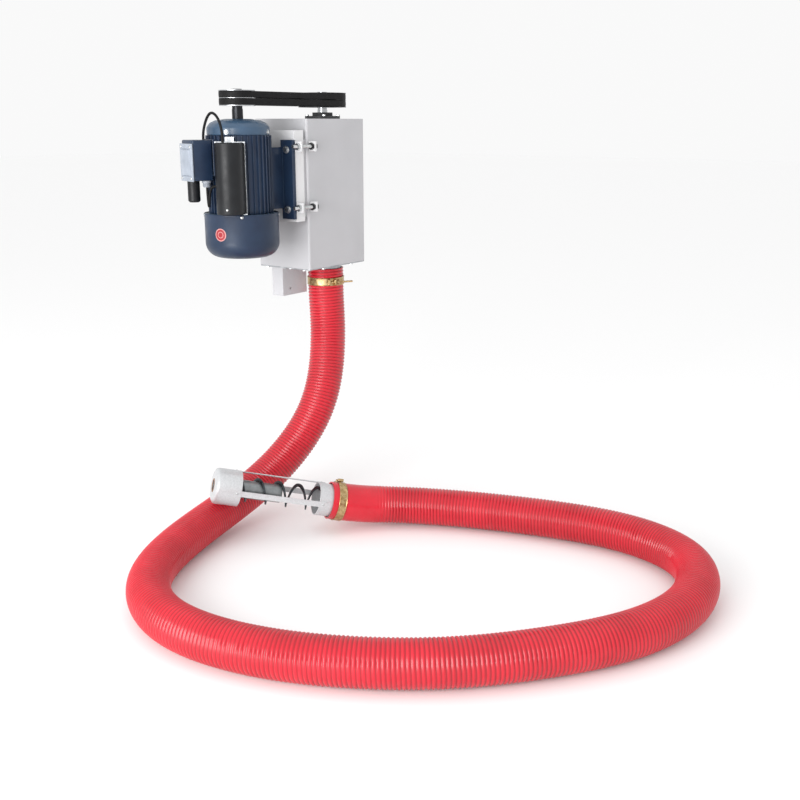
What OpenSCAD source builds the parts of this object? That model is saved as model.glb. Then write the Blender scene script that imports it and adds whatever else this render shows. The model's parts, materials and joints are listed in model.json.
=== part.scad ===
// Flexible grain auger: a belt-driven power head, a ribbed suction hose and an intake cage.
// The origin is the centre of the wall mount on the head's back wall (+X side), with +Z up.

/* [Head box] */
// Length of the box along the belts
box_length = 260; // [230:1:320]
// Depth of the box across the belts
box_depth = 200; // [190:1:280]
// Height of the box walls
box_height = 424; // [380:1:520]
// Thickness of the folded sheet
sheet = 2; // [1.5:0.1:3]
// Radius of the upright folded edges
fold_radius = 6; // [4:0.5:10]
// Width of the inward hem under the walls
hem_width = 16; // [12:1:20]
// Thickness of the base plate
base_thickness = 3; // [2:0.5:5]
// Height of the bolt rows of the wall mount
mount_rise = 300; // [200:1:320]
// Distance across the bolt rows of the wall mount
mount_span = 140; // [100:1:150]
// Diameter of the wall mount's bolt holes
mount_hole = 11; // [8:0.5:14]
// Thickness of the backing plate behind the wall mount
backing_thickness = 4; // [3:0.5:6]

/* [Discharge spout] */
// Length of the spout along the belts
spout_length = 106; // [80:1:106]
// Width of the spout across the belts
spout_width = 42; // [36:1:42]
// Drop of the spout below the base plate
spout_drop = 85; // [60:1:120]
// Diameter of the cross holes for the sack pin
pin_hole = 8; // [5:0.5:12]

/* [Drive] */
// Distance of the drive shaft from the wall mount face
drive_setback = 90; // [80:1:95]
// Offset of both shafts towards the front of the box
drive_offset = 15; // [10:1:20]
// Diameter of both shafts at their bearings
shaft_diameter = 30; // [30:1:34]
// Outer diameter of the sealed bearings
bearing_outer = 62; // [58:1:66]
// Width of the sealed bearings
bearing_width = 16; // [12:1:18]
// Radial clearance of a running fit
running_fit = 0.05; // [0.02:0.01:0.1]
// Clearance between neighbouring curved faces
curve_gap = 0.3; // [0.2:0.05:0.5]
// Radius over the thrower blades
thrower_radius = 66; // [50:1:68]
// Height of the thrower blades
thrower_height = 40; // [30:1:60]

/* [Belt drive] */
// Distance between the motor shaft and the drive shaft
shaft_distance = 354; // [345:1:380]
// Radius over the belts on the motor pulley
motor_belt_radius = 48.5; // [40:0.5:60]
// Radius over the belts on the driven pulley
driven_belt_radius = 70; // [60:0.5:85]
// Width of one V-belt at its top
belt_width = 17; // [13:0.5:18]
// Depth of one V-belt
belt_depth = 11; // [8:0.5:12]
// Distance between the two belts' centres
belt_pitch = 19; // [19:0.5:22]
// Height of the belts' middle above the box roof
belt_height = 53; // [50:1:60]

/* [Motor] */
// Radius of the motor frame under its fins
frame_radius = 84; // [80:1:90]
// Radial height of the cooling fins
fin_height = 5; // [3:0.5:6]
// Number of cooling fins around the frame
fin_count = 36; // [24:1:44]
// Length of the finned frame
frame_length = 208; // [190:1:240]
// Distance of the finned frame's top below the box roof
frame_drop = 43; // [40:1:60]
// Height of the end shield at the pulley end
shield_height = 42; // [40:1:50]
// Outer radius of the fan cowl
cowl_radius = 102; // [98:0.5:108]
// Height of the fan cowl
cowl_height = 120; // [110:1:140]
// Radius of the cowl's rounded lower edge
cowl_round = 40; // [25:1:45]
// Direction of the terminal box about the motor shaft
terminal_angle = 158; // [150:1:165]
// Direction of the start capacitor about the motor shaft
capacitor_angle = 210; // [205:1:225]
// Height of the start capacitor cover
capacitor_height = 186; // [160:1:186]
// Distance between the foot bolts across the feet
foot_span = 125; // [110:1:130]
// Distance between the foot bolts along the shaft
foot_rise = 164; // [140:1:170]
// Distance of the feet's middle below the stator's middle
foot_offset = 19; // [0:1:24]

/* [Belt tensioner] */
// Depth of the sliding carriage channel
carriage_depth = 38; // [34:1:44]
// Thickness of the channel and rail sheet
channel_sheet = 3; // [2:0.5:4]
// Gap between the carriage web and the box wall
carriage_standoff = 47; // [45:1:55]
// Diameter of the tension studs
stud_diameter = 10; // [8:1:12]
// Length of the tension studs
stud_length = 100; // [96:1:120]

/* [Hose] */
// Outer diameter of the suction hose over its ribs
hose_diameter = 110; // [104:0.5:114]
// Wall thickness of the hose
hose_wall = 5; // [3:0.5:6]
// Outer diameter of the inlet pipe and the cage collar
pipe_diameter = 95.4; // [90:0.2:97]
// Wall thickness of the inlet pipe and the cage collar
pipe_wall = 3; // [2:0.5:4]
// Length of the inlet pipe under the base plate
inlet_drop = 78; // [70:1:90]
// Height of the inlet pipe above the base plate
riser_height = 112; // [60:1:120]
// Width of the clamp bands
band_width = 24; // [18:1:28]
// Outer diameter of the conveying spiral
spiral_diameter = 72; // [60:1:76]
// Distance between the spiral's turns
spiral_pitch = 60; // [50:1:75]

/* [Intake cage] */
// Length of the cage beyond the hose end
cage_length = 344; // [300:1:400]
// Outer diameter of the cage's end cap
cap_diameter = 102.8; // [102:0.2:108]
// Length of the end cap
cap_length = 74; // [60:1:90]
// Width of the cage's side strips
strip_width = 16; // [10:1:22]
// Outer diameter of the intake core pipe
core_diameter = 52; // [44:1:54]
// Length of the intake core pipe
core_length = 178; // [120:1:200]

/* [Hidden] */
$fn = 64;

roof_z = box_height / 2;
floor_z = -box_height / 2;
base_z = floor_z - base_thickness;
front_y = -box_depth / 2;
drive_x = -drive_setback;
drive_y = -drive_offset;
motor_x = drive_x - shaft_distance;
shaft_radius = shaft_diameter / 2;
belt_z = roof_z + belt_height;
pulley_half = belt_pitch / 2 + belt_width / 2 + 2.5;
stub_radius = shaft_radius - 1;
shaft_top = belt_z + pulley_half + 3;
bolt_fit = 0.3;
bolt_radius = 3;
bolt_head = 5.5;
bolt_head_height = 4;

// Discharge spout
spout_x0 = -box_length;
spout_x1 = spout_x0 + spout_length;
spout_y0 = 8;
spout_y1 = spout_y0 + spout_width;
spout_z = base_z - spout_drop;
spout_flange = 12;
pin_x = spout_x0 + 32;
pin_z = spout_z + 20;

// Flanges at the drive shaft
inlet_flange_radius = 62;
inlet_bolt_circle = inlet_flange_radius - 7;
bearing_flange_radius = 52;
bearing_flange = 8;
bearing_bolt_circle = bearing_flange_radius - 6;
barrel_radius = 40;

// Drive shaft levels
bearing_top = roof_z - 16;
bearing_low = roof_z - 88;
barrel_bottom = bearing_low - bearing_width - 4;
riser_top = floor_z + riser_height;
thrower_bottom = riser_top + 34;
coupling_top = floor_z + 42;
coupling_bottom = base_z - 45;
spiral_lap = 20;
drive_bottom = base_z + 10;

// Clamp bands
clamp_top = base_z - 42;
cage_band_start = -40;

// Motor levels
frame_top = roof_z - frame_drop;
frame_bottom = frame_top - frame_length;
shield_top = frame_top + shield_height;
lower_shield_z = frame_bottom - 10;
cowl_bottom = frame_bottom - cowl_height;
motor_bearing_top = shield_top - 20;
motor_bearing_low = lower_shield_z + 12 + bearing_width;
core_half = 70;
terminal_face = 148;
terminal_height = 105;
terminal_half = 40;
lid_thickness = 5;
gland_height = 18;
core_z = (frame_top + frame_bottom) / 2;
terminal_z = core_z - 13;
frame_bore = frame_radius - 12;
rotor_radius = 45.5;
pad_radius = frame_radius + fin_height + 3;
gland_radius = pad_radius + 14;
gland_side = 22;

// Carriage and feet
foot_margin = 27;
foot_thickness = 12;
web_x = -box_length - carriage_standoff;
web_back = web_x - channel_sheet;
foot_x = web_back - foot_thickness;
foot_half = foot_span / 2 + 22.5;
foot_web = foot_span / 2 - 20;
foot_z = core_z - foot_offset;
foot_low = foot_z - foot_rise / 2 - foot_margin;
foot_high = foot_z + foot_rise / 2 + foot_margin;
channel_half = foot_half - 3;
channel_low = foot_low - 8;
channel_high = foot_high + 26;
stud_y = front_y - 12;
stud_levels = [core_z + 72, core_z - 96];
lug_x = -box_length + 8;
stud_left = lug_x + 18 - stud_length;

// Hose and cage
hose_radius = hose_diameter / 2;
pipe_radius = pipe_diameter / 2;
HOSE_SIDES = 12;
hose_inner = (pipe_radius + curve_gap) / cos(180 / HOSE_SIDES);
hose_wall_limit = min(hose_wall, hose_radius - hose_inner);
spiral_outer = spiral_diameter / 2;
flight_depth = 10;
flight_thickness = 5;
SPIRAL_STEPS = 12;
coupling_radius = (spiral_outer - flight_depth) * cos(180 / SPIRAL_STEPS) - curve_gap;
band_inner = hose_radius + curve_gap;
band_thickness = 1.6;
strip_thickness = 2;
strip_inner = pipe_radius + 0.1;
cap_outer = cap_diameter / 2;
cap_wall = 1.5;
STRIP_ANGLES = [90, 205, 270];
bush_length = 16;

// Control points of the hose's centre line, from above the inlet to beyond the hose end
HOSE_POINTS = [
  [-90, -15, -130], [-90, -15, -230], [-90, -15, -330], [-90, -25, -450],
  [-180, -70, -660], [-340, 0, -840], [-550, 20, -905], [-780, -40, -910],
  [-990, -150, -910], [-1100, -350, -910], [-1080, -590, -910], [-990, -800, -910],
  [-860, -990, -910], [-690, -1140, -910], [-500, -1270, -910], [-270, -1320, -910],
  [-40, -1240, -910], [40, -1020, -910], [0, -790, -910], [-80, -550, -910],
  [-180, -370, -905], [-270, -290, -895], [-350, -230, -870], [-430, -170, -845]
];
HOSE_STEPS = 4;

// Control points of the leads between the terminal box and the start capacitor
TERMINAL_LEAD_POINTS = [
  [-545, 15, 137], [-545, 15, 157.5], [-545, 15, 178], [-548, -2, 212],
  [-553, -28, 232], [-557, -58, 214], [-557, -69, 181], [-557, -69, 151.5], [-557, -69, 122]
];
CAPACITOR_LEAD_POINTS = [
  [-550, 4, 65], [-550, 4, 45], [-550, 4, 25], [-551, 2, 0], [-556, -6, -24],
  [-562, -15, 5], [-560, -18, 30], [-557, -25, 38], [-552, -34, 38], [-547, -43, 38]
];

function unit(v) = v / norm(v);
function spline_point(p, i, t) =
  (pow(1 - t, 3) * p[i] + (3 * pow(t, 3) - 6 * t * t + 4) * p[i + 1]
  + (-3 * pow(t, 3) + 3 * t * t + 3 * t + 1) * p[i + 2] + pow(t, 3) * p[i + 3]) / 6;
function spline(p, steps) = [
  for (i = [0 : len(p) - 4]) for (k = [0 : steps - 1]) spline_point(p, i, k / steps),
  spline_point(p, len(p) - 4, 1)
];
function tangents(c) = [
  for (i = [0 : len(c) - 1]) unit(c[min(i + 1, len(c) - 1)] - c[max(i - 1, 0)])
];
function square_to(v, t) = unit(v - (v * t) * t);
// Side directions carried along the line without twist
function carried(t, start) = [
  for (i = 0, n = square_to(start, t[0]); i < len(t);
    i = i + 1, n = i < len(t) ? square_to(n, t[i]) : n) n
];
function ring(c, t, n, r, sides) = [
  for (k = [0 : sides - 1])
    c + r * (cos(360 * k / sides) * n + sin(360 * k / sides) * cross(t, n))
];
function flat(list) = [for (a = list) for (b = a) b];
// Quads between ring a and ring b of a stack of rings with s points each
function skin(a, b, s) = [
  for (k = [0 : s - 1]) [a * s + k, a * s + (k + 1) % s, b * s + (k + 1) % s, b * s + k]
];

// Running lengths along a line
function lengths(c, i = 0, sum = 0, acc = []) = i >= len(c) ? acc
  : let (s = i == 0 ? 0 : sum + norm(c[i] - c[i - 1])) lengths(c, i + 1, s, concat(acc, [s]));

hose_line = spline(HOSE_POINTS, HOSE_STEPS);
hose_tangents = tangents(hose_line);
hose_sides = carried(hose_tangents, [1, 0, 0]);
hose_marks = lengths(hose_line);
hose_length = hose_marks[len(hose_marks) - 1];
hose_end = hose_line[len(hose_line) - 1];
cage_axis = unit(HOSE_POINTS[len(HOSE_POINTS) - 1] - HOSE_POINTS[len(HOSE_POINTS) - 3]);

// Each quad as two triangles, for faces that aren't flat
function split(quads) = flat([for (f = quads) [[f[0], f[1], f[2]], [f[0], f[2], f[3]]]]);

// A solid rod swept along a line
module rod(line, r, sides) {
  t = tangents(line);
  n = carried(t, [0.1, 1, 0.2]);
  count = len(line);
  points = flat([for (i = [0 : count - 1]) ring(line[i], t[i], n[i], r, sides)]);
  walls = flat([for (i = [0 : count - 2]) skin(i, i + 1, sides)]);
  low_end = [[for (k = [0 : sides - 1]) k]];
  high_end = [[for (k = [sides - 1 : -1 : 0]) (count - 1) * sides + k]];
  polyhedron(points, concat(low_end, [for (f = walls) [f[3], f[2], f[1], f[0]]], high_end));
}

// A hollow tube swept along a line
module tube(line, t, n, outer, inner, sides) {
  count = len(line);
  outside = [for (i = [0 : count - 1]) ring(line[i], t[i], n[i], outer, sides)];
  inside = [for (i = [0 : count - 1]) ring(line[i], t[i], n[i], inner, sides)];
  points = flat(concat(outside, inside));
  outer_walls = flat([for (i = [0 : count - 2]) skin(i, i + 1, sides)]);
  inner_walls = flat([for (i = [0 : count - 2]) skin(count + i, count + i + 1, sides)]);
  polyhedron(points, concat(
    [for (f = outer_walls) [f[3], f[2], f[1], f[0]]],
    inner_walls,
    skin(0, count, sides),
    [for (f = skin(count - 1, 2 * count - 1, sides)) [f[3], f[2], f[1], f[0]]]
  ));
}

// A flat-sided spiral flight around a line: four corners at each step
module flight(centres, t, n, inner, outer, thickness, turn_step) {
  count = len(centres);
  function radial(i) = cos(turn_step * i) * n[i] + sin(turn_step * i) * cross(t[i], n[i]);
  points = flat([for (i = [0 : count - 1])
    let (c = centres[i], u = radial(i), w = t[i] * thickness / 2)
      [c + u * inner - w, c + u * outer - w, c + u * outer + w, c + u * inner + w]]);
  walls = flat([for (i = [0 : count - 2]) skin(i, i + 1, 4)]);
  last = (count - 1) * 4;
  ends = [[3, 2, 1, 0], [last, last + 1, last + 2, last + 3]];
  polyhedron(points, split(concat(walls, ends)));
}

module rounded_rect(x0, x1, y0, y1, r) {
  translate([x0 + r, y0]) square([x1 - x0 - 2 * r, y1 - y0]);
  translate([x0, y0 + r]) square([x1 - x0, y1 - y0 - 2 * r]);
  for (x = [x0 + r, x1 - r]) for (y = [y0 + r, y1 - r]) translate([x, y]) circle(r);
}

module block(x0, x1, y0, y1, z0, z1) {
  translate([x0, y0, z0]) cube([x1 - x0, y1 - y0, z1 - z0]);
}

module at_drive(z) { translate([drive_x, drive_y, z]) children(); }

module at_motor(z) { translate([motor_x, drive_y, z]) children(); }

// Places children at a direction about the motor shaft, with local +X outwards
module around_motor(angle, z) { at_motor(z) rotate([0, 0, angle]) children(); }

// Places children on the cage axis, with local +Z away from the hose
module on_cage(z) {
  turn = [0, acos(cage_axis[2]), atan2(cage_axis[1], cage_axis[0])];
  translate(hose_end) rotate(turn) translate([0, 0, z]) children();
}

// Hexagon bolt with its head below z = 0, its shank upwards and a nut beyond the grip
module bolt(grip) {
  translate([0, 0, -bolt_head_height]) cylinder(r = bolt_head, h = bolt_head_height, $fn = 6);
  cylinder(r = bolt_radius, h = grip + bolt_head_height + 4);
  translate([0, 0, grip]) cylinder(r = bolt_head, h = bolt_head_height, $fn = 6);
}

module bolt_hole(z0, z1) { translate([0, 0, z0]) cylinder(r = bolt_radius + bolt_fit, h = z1 - z0); }

function rail_spots() = [for (y = [-40, 20]) for (z = [foot_low + 40, foot_high - 40]) [y, z]];
function flange_spots(r) = [for (a = [45 : 90 : 315]) [drive_x + r * cos(a), drive_y + r * sin(a)]];
function hem_spots() = let (i = hem_width / 2 + 1, l = -box_length) [
  [l + i, front_y + 30], [l + i, -front_y - 24],
  [-i, front_y + 30], [-i, -front_y - 30],
  [l + 70, front_y + i], [-60, front_y + i], [l + 70, -front_y - i], [-60, -front_y - i]
];
function spout_spots() = [
  for (x = [spout_x0 + 28, spout_x1 - 18]) for (y = [spout_y0 - 7, spout_y1 + 7]) [x, y]
];
module bearing(outer_race, top) {
  race = bearing_outer / 2 - 6.5;
  bore = shaft_radius;
  translate([0, 0, top - bearing_width]) difference() {
    cylinder(r = outer_race ? bearing_outer / 2 : race - 2 * running_fit, h = bearing_width);
    translate([0, 0, -1]) cylinder(r = outer_race ? race : bore, h = bearing_width + 2);
  }
}

module mount_holes(x0, x1) {
  for (y = [-mount_span / 2, mount_span / 2]) for (z = [-mount_rise / 2, mount_rise / 2])
    translate([x0, y, z]) rotate([0, 90, 0]) cylinder(d = mount_hole, h = x1 - x0);
}

module housing_shell() {
  color("gainsboro") difference() {
    translate([0, 0, floor_z]) linear_extrude(box_height)
      rounded_rect(-box_length, 0, front_y, -front_y, fold_radius);
    translate([0, 0, floor_z + sheet]) linear_extrude(box_height - 2 * sheet)
      rounded_rect(-box_length + sheet, -sheet, front_y + sheet, -front_y - sheet,
        fold_radius - sheet);
    block(-box_length + hem_width, -hem_width, front_y + hem_width, -front_y - hem_width,
      floor_z - 1, floor_z + sheet + 1);
    block(spout_x0 + sheet, spout_x1 + 4, spout_y0 - 14, spout_y1 + 14, floor_z - 1,
      floor_z + sheet + 1);
    at_drive(roof_z - 10) cylinder(r = barrel_radius + bolt_fit, h = 20);
    for (p = flange_spots(bearing_bolt_circle)) translate([p[0], p[1], 0])
      bolt_hole(roof_z - 10, roof_z + 10);
    for (p = hem_spots()) translate([p[0], p[1], 0]) bolt_hole(floor_z - 1, floor_z + 4);
    for (p = rail_spots()) translate([-box_length - 1, p[0], p[1]]) rotate([0, 90, 0])
      bolt_hole(0, 6);
    mount_holes(-sheet - 1, 1);
  }
}

module base_plate() {
  color("silver") difference() {
    translate([0, 0, base_z]) linear_extrude(base_thickness)
      rounded_rect(-box_length + 0.5, -0.5, front_y + 0.5, -front_y - 0.5, fold_radius);
    at_drive(base_z - 1) cylinder(r = pipe_radius + curve_gap, h = base_thickness + 2);
    block(spout_x0 + sheet, spout_x1 - sheet, spout_y0 + sheet, spout_y1 - sheet, base_z - 1,
      floor_z + 1);
    for (p = concat(hem_spots(), flange_spots(inlet_bolt_circle), spout_spots()))
      translate([p[0], p[1], 0]) bolt_hole(base_z - 1, floor_z + 1);
  }
}

module mounting_plate() {
  color("dimgray") difference() {
    block(-sheet - backing_thickness, -sheet, -mount_span / 2 - 20, mount_span / 2 + 20,
      -mount_rise / 2 - 20, mount_rise / 2 + 20);
    mount_holes(-sheet - backing_thickness - 1, 1);
  }
}

module discharge_spout() {
  color("whitesmoke") difference() {
    union() {
      block(spout_x0, spout_x1, spout_y0, spout_y1, spout_z, base_z);
      block(spout_x0 + 1, spout_x1, spout_y0 - spout_flange, spout_y1 + spout_flange,
        base_z - sheet, base_z);
    }
    block(spout_x0 + sheet, spout_x1 - sheet, spout_y0 + sheet, spout_y1 - sheet, spout_z - 1,
      base_z + 1);
    for (p = spout_spots()) translate([p[0], p[1], 0]) bolt_hole(base_z - sheet - 1, base_z + 1);
    translate([pin_x, spout_y0 - 1, pin_z]) rotate([-90, 0, 0])
      cylinder(d = pin_hole, h = spout_width + 2);
  }
}

module inlet_pipe() {
  color("silver") difference() {
    union() {
      at_drive(base_z - inlet_drop) cylinder(r = pipe_radius, h = inlet_drop + base_thickness
        + riser_height);
      at_drive(floor_z) cylinder(r = inlet_flange_radius, h = 4);
    }
    at_drive(base_z - inlet_drop - 1) cylinder(r = pipe_radius - pipe_wall,
      h = inlet_drop + base_thickness + riser_height + 2);
    for (p = flange_spots(inlet_bolt_circle)) translate([p[0], p[1], 0])
      bolt_hole(floor_z - 1, floor_z + 5);
  }
}

module housing_bolts() {
  color("lightgray") {
    for (p = hem_spots()) translate([p[0], p[1], base_z]) bolt(base_thickness + sheet);
    for (p = flange_spots(inlet_bolt_circle)) translate([p[0], p[1], base_z])
      bolt(base_thickness + 4);
    for (p = spout_spots()) translate([p[0], p[1], base_z - sheet]) bolt(base_thickness + sheet);
    for (p = flange_spots(bearing_bolt_circle)) translate([p[0], p[1], roof_z + bearing_flange])
      mirror([0, 0, 1]) bolt(bearing_flange + sheet);
    for (p = rail_spots()) translate([-box_length - channel_sheet, p[0], p[1]])
      rotate([0, 90, 0]) bolt(channel_sheet + sheet);
  }
}

module bearing_housing() {
  seat = bearing_outer / 2 + running_fit;
  color("dimgray") difference() {
    union() {
      at_drive(roof_z) cylinder(r = bearing_flange_radius, h = bearing_flange);
      at_drive(roof_z + bearing_flange) cylinder(r = shaft_radius + 15, h = 10);
      at_drive(barrel_bottom) cylinder(r = barrel_radius, h = roof_z - barrel_bottom);
    }
    at_drive(barrel_bottom - 1) cylinder(r = shaft_radius + 6, h = 300);
    at_drive(bearing_top - bearing_width) cylinder(r = seat, h = bearing_width);
    at_drive(barrel_bottom - 1) cylinder(r = seat, h = bearing_low - barrel_bottom + 1);
    for (p = flange_spots(bearing_bolt_circle)) translate([p[0], p[1], 0])
      bolt_hole(roof_z - 1, roof_z + bearing_flange + 1);
  }
}

module drive_bearing_outer() {
  color("silver") at_drive(0) {
    bearing(true, bearing_top);
    bearing(true, bearing_low);
  }
}

module motor_rail() {
  x0 = -box_length - channel_sheet;
  half = channel_half - channel_sheet - 0.5;
  color("darkgray") difference() {
    block(x0 - 31, -box_length, drive_y - half, drive_y + half, foot_low + 4, foot_high);
    block(x0 - 32, x0, drive_y - half + channel_sheet, drive_y + half - channel_sheet,
      foot_low, foot_high + 1);
    for (p = rail_spots()) translate([x0 - 1, p[0], p[1]]) rotate([0, 90, 0])
      bolt_hole(0, channel_sheet + 2);
  }
}

module tension_lugs() {
  color("whitesmoke") for (z = stud_levels) difference() {
    union() {
      block(lug_x, lug_x + 5, stud_y - 12, front_y, z - 14, z + 14);
      block(lug_x, lug_x + 30, front_y - 3, front_y, z - 14, z + 14);
    }
    translate([lug_x - 1, stud_y, z]) rotate([0, 90, 0]) cylinder(d = stud_diameter + 1, h = 7);
  }
}

// Hexagon nut along X, with a running fit on the stud
module stud_nut(x, z, fit) {
  translate([x, stud_y, z]) rotate([0, 90, 0]) difference() {
    cylinder(r = stud_diameter * 0.98, h = 8, $fn = 6);
    translate([0, 0, -1]) cylinder(r = stud_diameter / 2 + fit, h = 10);
  }
}

module tension_nuts() {
  color("dimgray") for (z = stud_levels) for (x = [lug_x - 8, lug_x + 5])
    stud_nut(x, z, running_fit);
}

module hose() {
  color("crimson") tube(hose_line, hose_tangents, hose_sides, hose_radius,
    hose_radius - hose_wall_limit, HOSE_SIDES);
}

// The step of the hose line that holds a running length, and a list's value there
function segment(s) = let (hits = [for (i = [0 : len(hose_marks) - 2]) if (hose_marks[i] <= s) i])
  hits[len(hits) - 1];
function blend(list, s) = let (i = segment(s),
  f = (s - hose_marks[i]) / (hose_marks[i + 1] - hose_marks[i])) list[i] * (1 - f) + list[i + 1] * f;

module hose_spiral() {
  first = hose_line[0][2] - coupling_bottom - spiral_lap;
  last = hose_length - 12;
  count = floor((last - first) / spiral_pitch * SPIRAL_STEPS);
  marks = [for (k = [0 : count]) first + k * spiral_pitch / SPIRAL_STEPS];
  centres = [for (s = marks) blend(hose_line, s)];
  along = [for (s = marks) unit(blend(hose_tangents, s))];
  sides = [for (k = [0 : count]) square_to(blend(hose_sides, marks[k]), along[k])];
  color("slategray") flight(centres, along, sides, spiral_outer - flight_depth, spiral_outer,
    flight_thickness, 360 / SPIRAL_STEPS);
}

module band() {
  difference() {
    cylinder(r = band_inner + band_thickness, h = band_width);
    translate([0, 0, -1]) cylinder(r = band_inner, h = band_width + 2);
  }
}

module inlet_clamp() {
  color("goldenrod") at_drive(clamp_top - band_width) band();
}

module cage_clamp() {
  color("goldenrod") on_cage(cage_band_start) band();
}

// Trunnion block and T-bolt that tighten a band, at the band's +X side and along +Y
module clamp_bolt() {
  x = band_inner + band_thickness + 0.2;
  translate([x, -12, 4]) cube([9, 8, band_width - 8]);
  translate([x, 8, 4]) cube([9, 8, band_width - 8]);
  translate([x + 4.5, -14, band_width / 2]) rotate([-90, 0, 0]) cylinder(r = 3, h = 80);
  translate([x + 4.5, 16, band_width / 2]) rotate([-90, 0, 0]) cylinder(r = 6, h = 7, $fn = 6);
}

module clamp_bolts() {
  color("gray") {
    at_drive(clamp_top - band_width) rotate([0, 0, 238]) clamp_bolt();
    on_cage(cage_band_start) rotate([0, 0, 205]) clamp_bolt();
  }
}

module cage_collar() {
  color("lightgray") on_cage(-48) difference() {
    cylinder(r = pipe_radius, h = 88);
    translate([0, 0, -1]) cylinder(r = pipe_radius - pipe_wall, h = 90);
  }
}

module cage_strips() {
  color("lightgray") for (a = STRIP_ANGLES) on_cage(18) rotate([0, 0, a]) intersection() {
    difference() {
      cylinder(r = strip_inner + strip_thickness, h = cage_length - 18 - 12);
      translate([0, 0, -1]) cylinder(r = strip_inner, h = cage_length);
    }
    translate([20, -strip_width / 2, -1]) cube([60, strip_width, cage_length]);
  }
}

module cage_end_cap() {
  inner = cap_outer - cap_wall;
  color("lightgray") on_cage(cage_length - cap_length) difference() {
    union() {
      cylinder(r = cap_outer, h = cap_length - 10);
      translate([0, 0, cap_length - 10]) cylinder(r1 = cap_outer, r2 = cap_outer - 8, h = 10);
    }
    translate([0, 0, -1]) cylinder(r = inner, h = cap_length - 10);
    translate([0, 0, cap_length - 11.5]) cylinder(r1 = inner, r2 = inner - 7, h = 8.5);
    cylinder(r = shaft_radius + 5, h = cap_length + 1);
  }
}

module cage_bush() {
  color("peru") on_cage(cage_length - bush_length) difference() {
    union() {
      cylinder(r = shaft_radius + 5, h = bush_length);
      cylinder(r = shaft_radius + 12, h = bush_length - 3);
    }
    translate([0, 0, -1]) cylinder(r = shaft_radius, h = bush_length + 2);
  }
}

module cage_rivets() {
  color("gray") for (a = STRIP_ANGLES) {
    on_cage(28) rotate([0, 0, a]) translate([strip_inner + strip_thickness, 0, 0])
      rotate([0, 90, 0]) cylinder(r = 3, h = 1.5);
    on_cage(cage_length - cap_length + 12) rotate([0, 0, a]) translate([cap_outer, 0, 0])
      rotate([0, 90, 0]) cylinder(r = 3, h = 1.5);
  }
}

module foot_bolt_places() {
  for (y = [-foot_span / 2, foot_span / 2]) for (z = [-foot_rise / 2, foot_rise / 2])
    translate([foot_x, drive_y + y, foot_z + z]) rotate([0, 90, 0]) children();
}

module motor_carriage() {
  color("white") difference() {
    union() {
      block(web_back, web_x, drive_y - channel_half, drive_y + channel_half, channel_low,
        channel_high);
      for (s = [-1, 1]) block(web_back, web_back + carriage_depth,
        drive_y + (s < 0 ? -channel_half : channel_half - channel_sheet),
        drive_y + (s < 0 ? -channel_half + channel_sheet : channel_half), channel_low,
        channel_high);
      for (z = stud_levels) block(web_back, web_x, stud_y - 12, drive_y - channel_half, z - 14,
        z + 14);
    }
    for (z = stud_levels) translate([web_back - 1, stud_y, z]) rotate([0, 90, 0])
      cylinder(d = stud_diameter + 0.6, h = channel_sheet + 2);
    foot_bolt_places() cylinder(r = 5.5, h = 20);
  }
}

module tension_studs() {
  color("dimgray") for (z = stud_levels) translate([stud_left, stud_y, z]) rotate([0, 90, 0])
    cylinder(d = stud_diameter, h = stud_length);
}

module stud_lock_nuts() {
  color("silver") for (z = stud_levels) for (x = [web_back - 8, web_x])
    stud_nut(x, z, running_fit);
}

module motor_frame() {
  color("midnightblue") difference() {
    union() {
      at_motor(frame_bottom) cylinder(r = frame_radius, h = frame_length);
      for (k = [0 : fin_count - 1]) around_motor(k * 360 / fin_count, frame_bottom)
        translate([frame_radius - 2, -1.25, 0]) cube([fin_height + 2, 2.5, frame_length]);
      around_motor(terminal_angle, terminal_z + 11) translate([60, 2 - terminal_half, 0])
        cube([pad_radius - 60, 2 * terminal_half - 4, terminal_height - 9]);
      around_motor(capacitor_angle, frame_bottom + 8) translate([60, -26, 0])
        cube([pad_radius - 60, 52, frame_length - 32]);
      for (s = [-1, 1]) {
        block(foot_x, web_back, drive_y + s * foot_span / 2 - 22.5,
          drive_y + s * foot_span / 2 + 22.5, foot_low, foot_high);
        block(motor_x + 50, foot_x + 1, drive_y + s * foot_web - 5, drive_y + s * foot_web + 5,
          foot_low + 30, foot_high - 20);
      }
    }
    at_motor(frame_bottom - 1) cylinder(r = frame_bore, h = frame_length + 2);
    foot_bolt_places() cylinder(r = 5.5, h = 20);
  }
}

module foot_bolts() {
  color("silver") foot_bolt_places() {
    translate([0, 0, -7]) cylinder(r = 9, h = 7, $fn = 6);
    cylinder(r = 5, h = foot_thickness + channel_sheet + 10);
    translate([0, 0, foot_thickness + channel_sheet]) cylinder(r = 9, h = 8, $fn = 6);
  }
}

module upper_shield() {
  color("steelblue") at_motor(0) difference() {
    rotate_extrude($fn = 96) polygon([
      [shaft_radius + 2, shield_top], [36, shield_top], [62, shield_top - 5],
      [frame_radius - 8, shield_top - 12], [frame_radius + 1, shield_top - 22],
      [frame_radius + 1, frame_top], [frame_radius - 6, frame_top],
      [frame_radius - 7, shield_top - 25], [58, shield_top - 13], [38, shield_top - 11],
      [38, motor_bearing_top - bearing_width], [shaft_radius + 2, motor_bearing_top - bearing_width]
    ]);
    translate([0, 0, motor_bearing_top - bearing_width - 1])
      cylinder(r = bearing_outer / 2 + running_fit, h = bearing_width + 1);
  }
}

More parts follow.
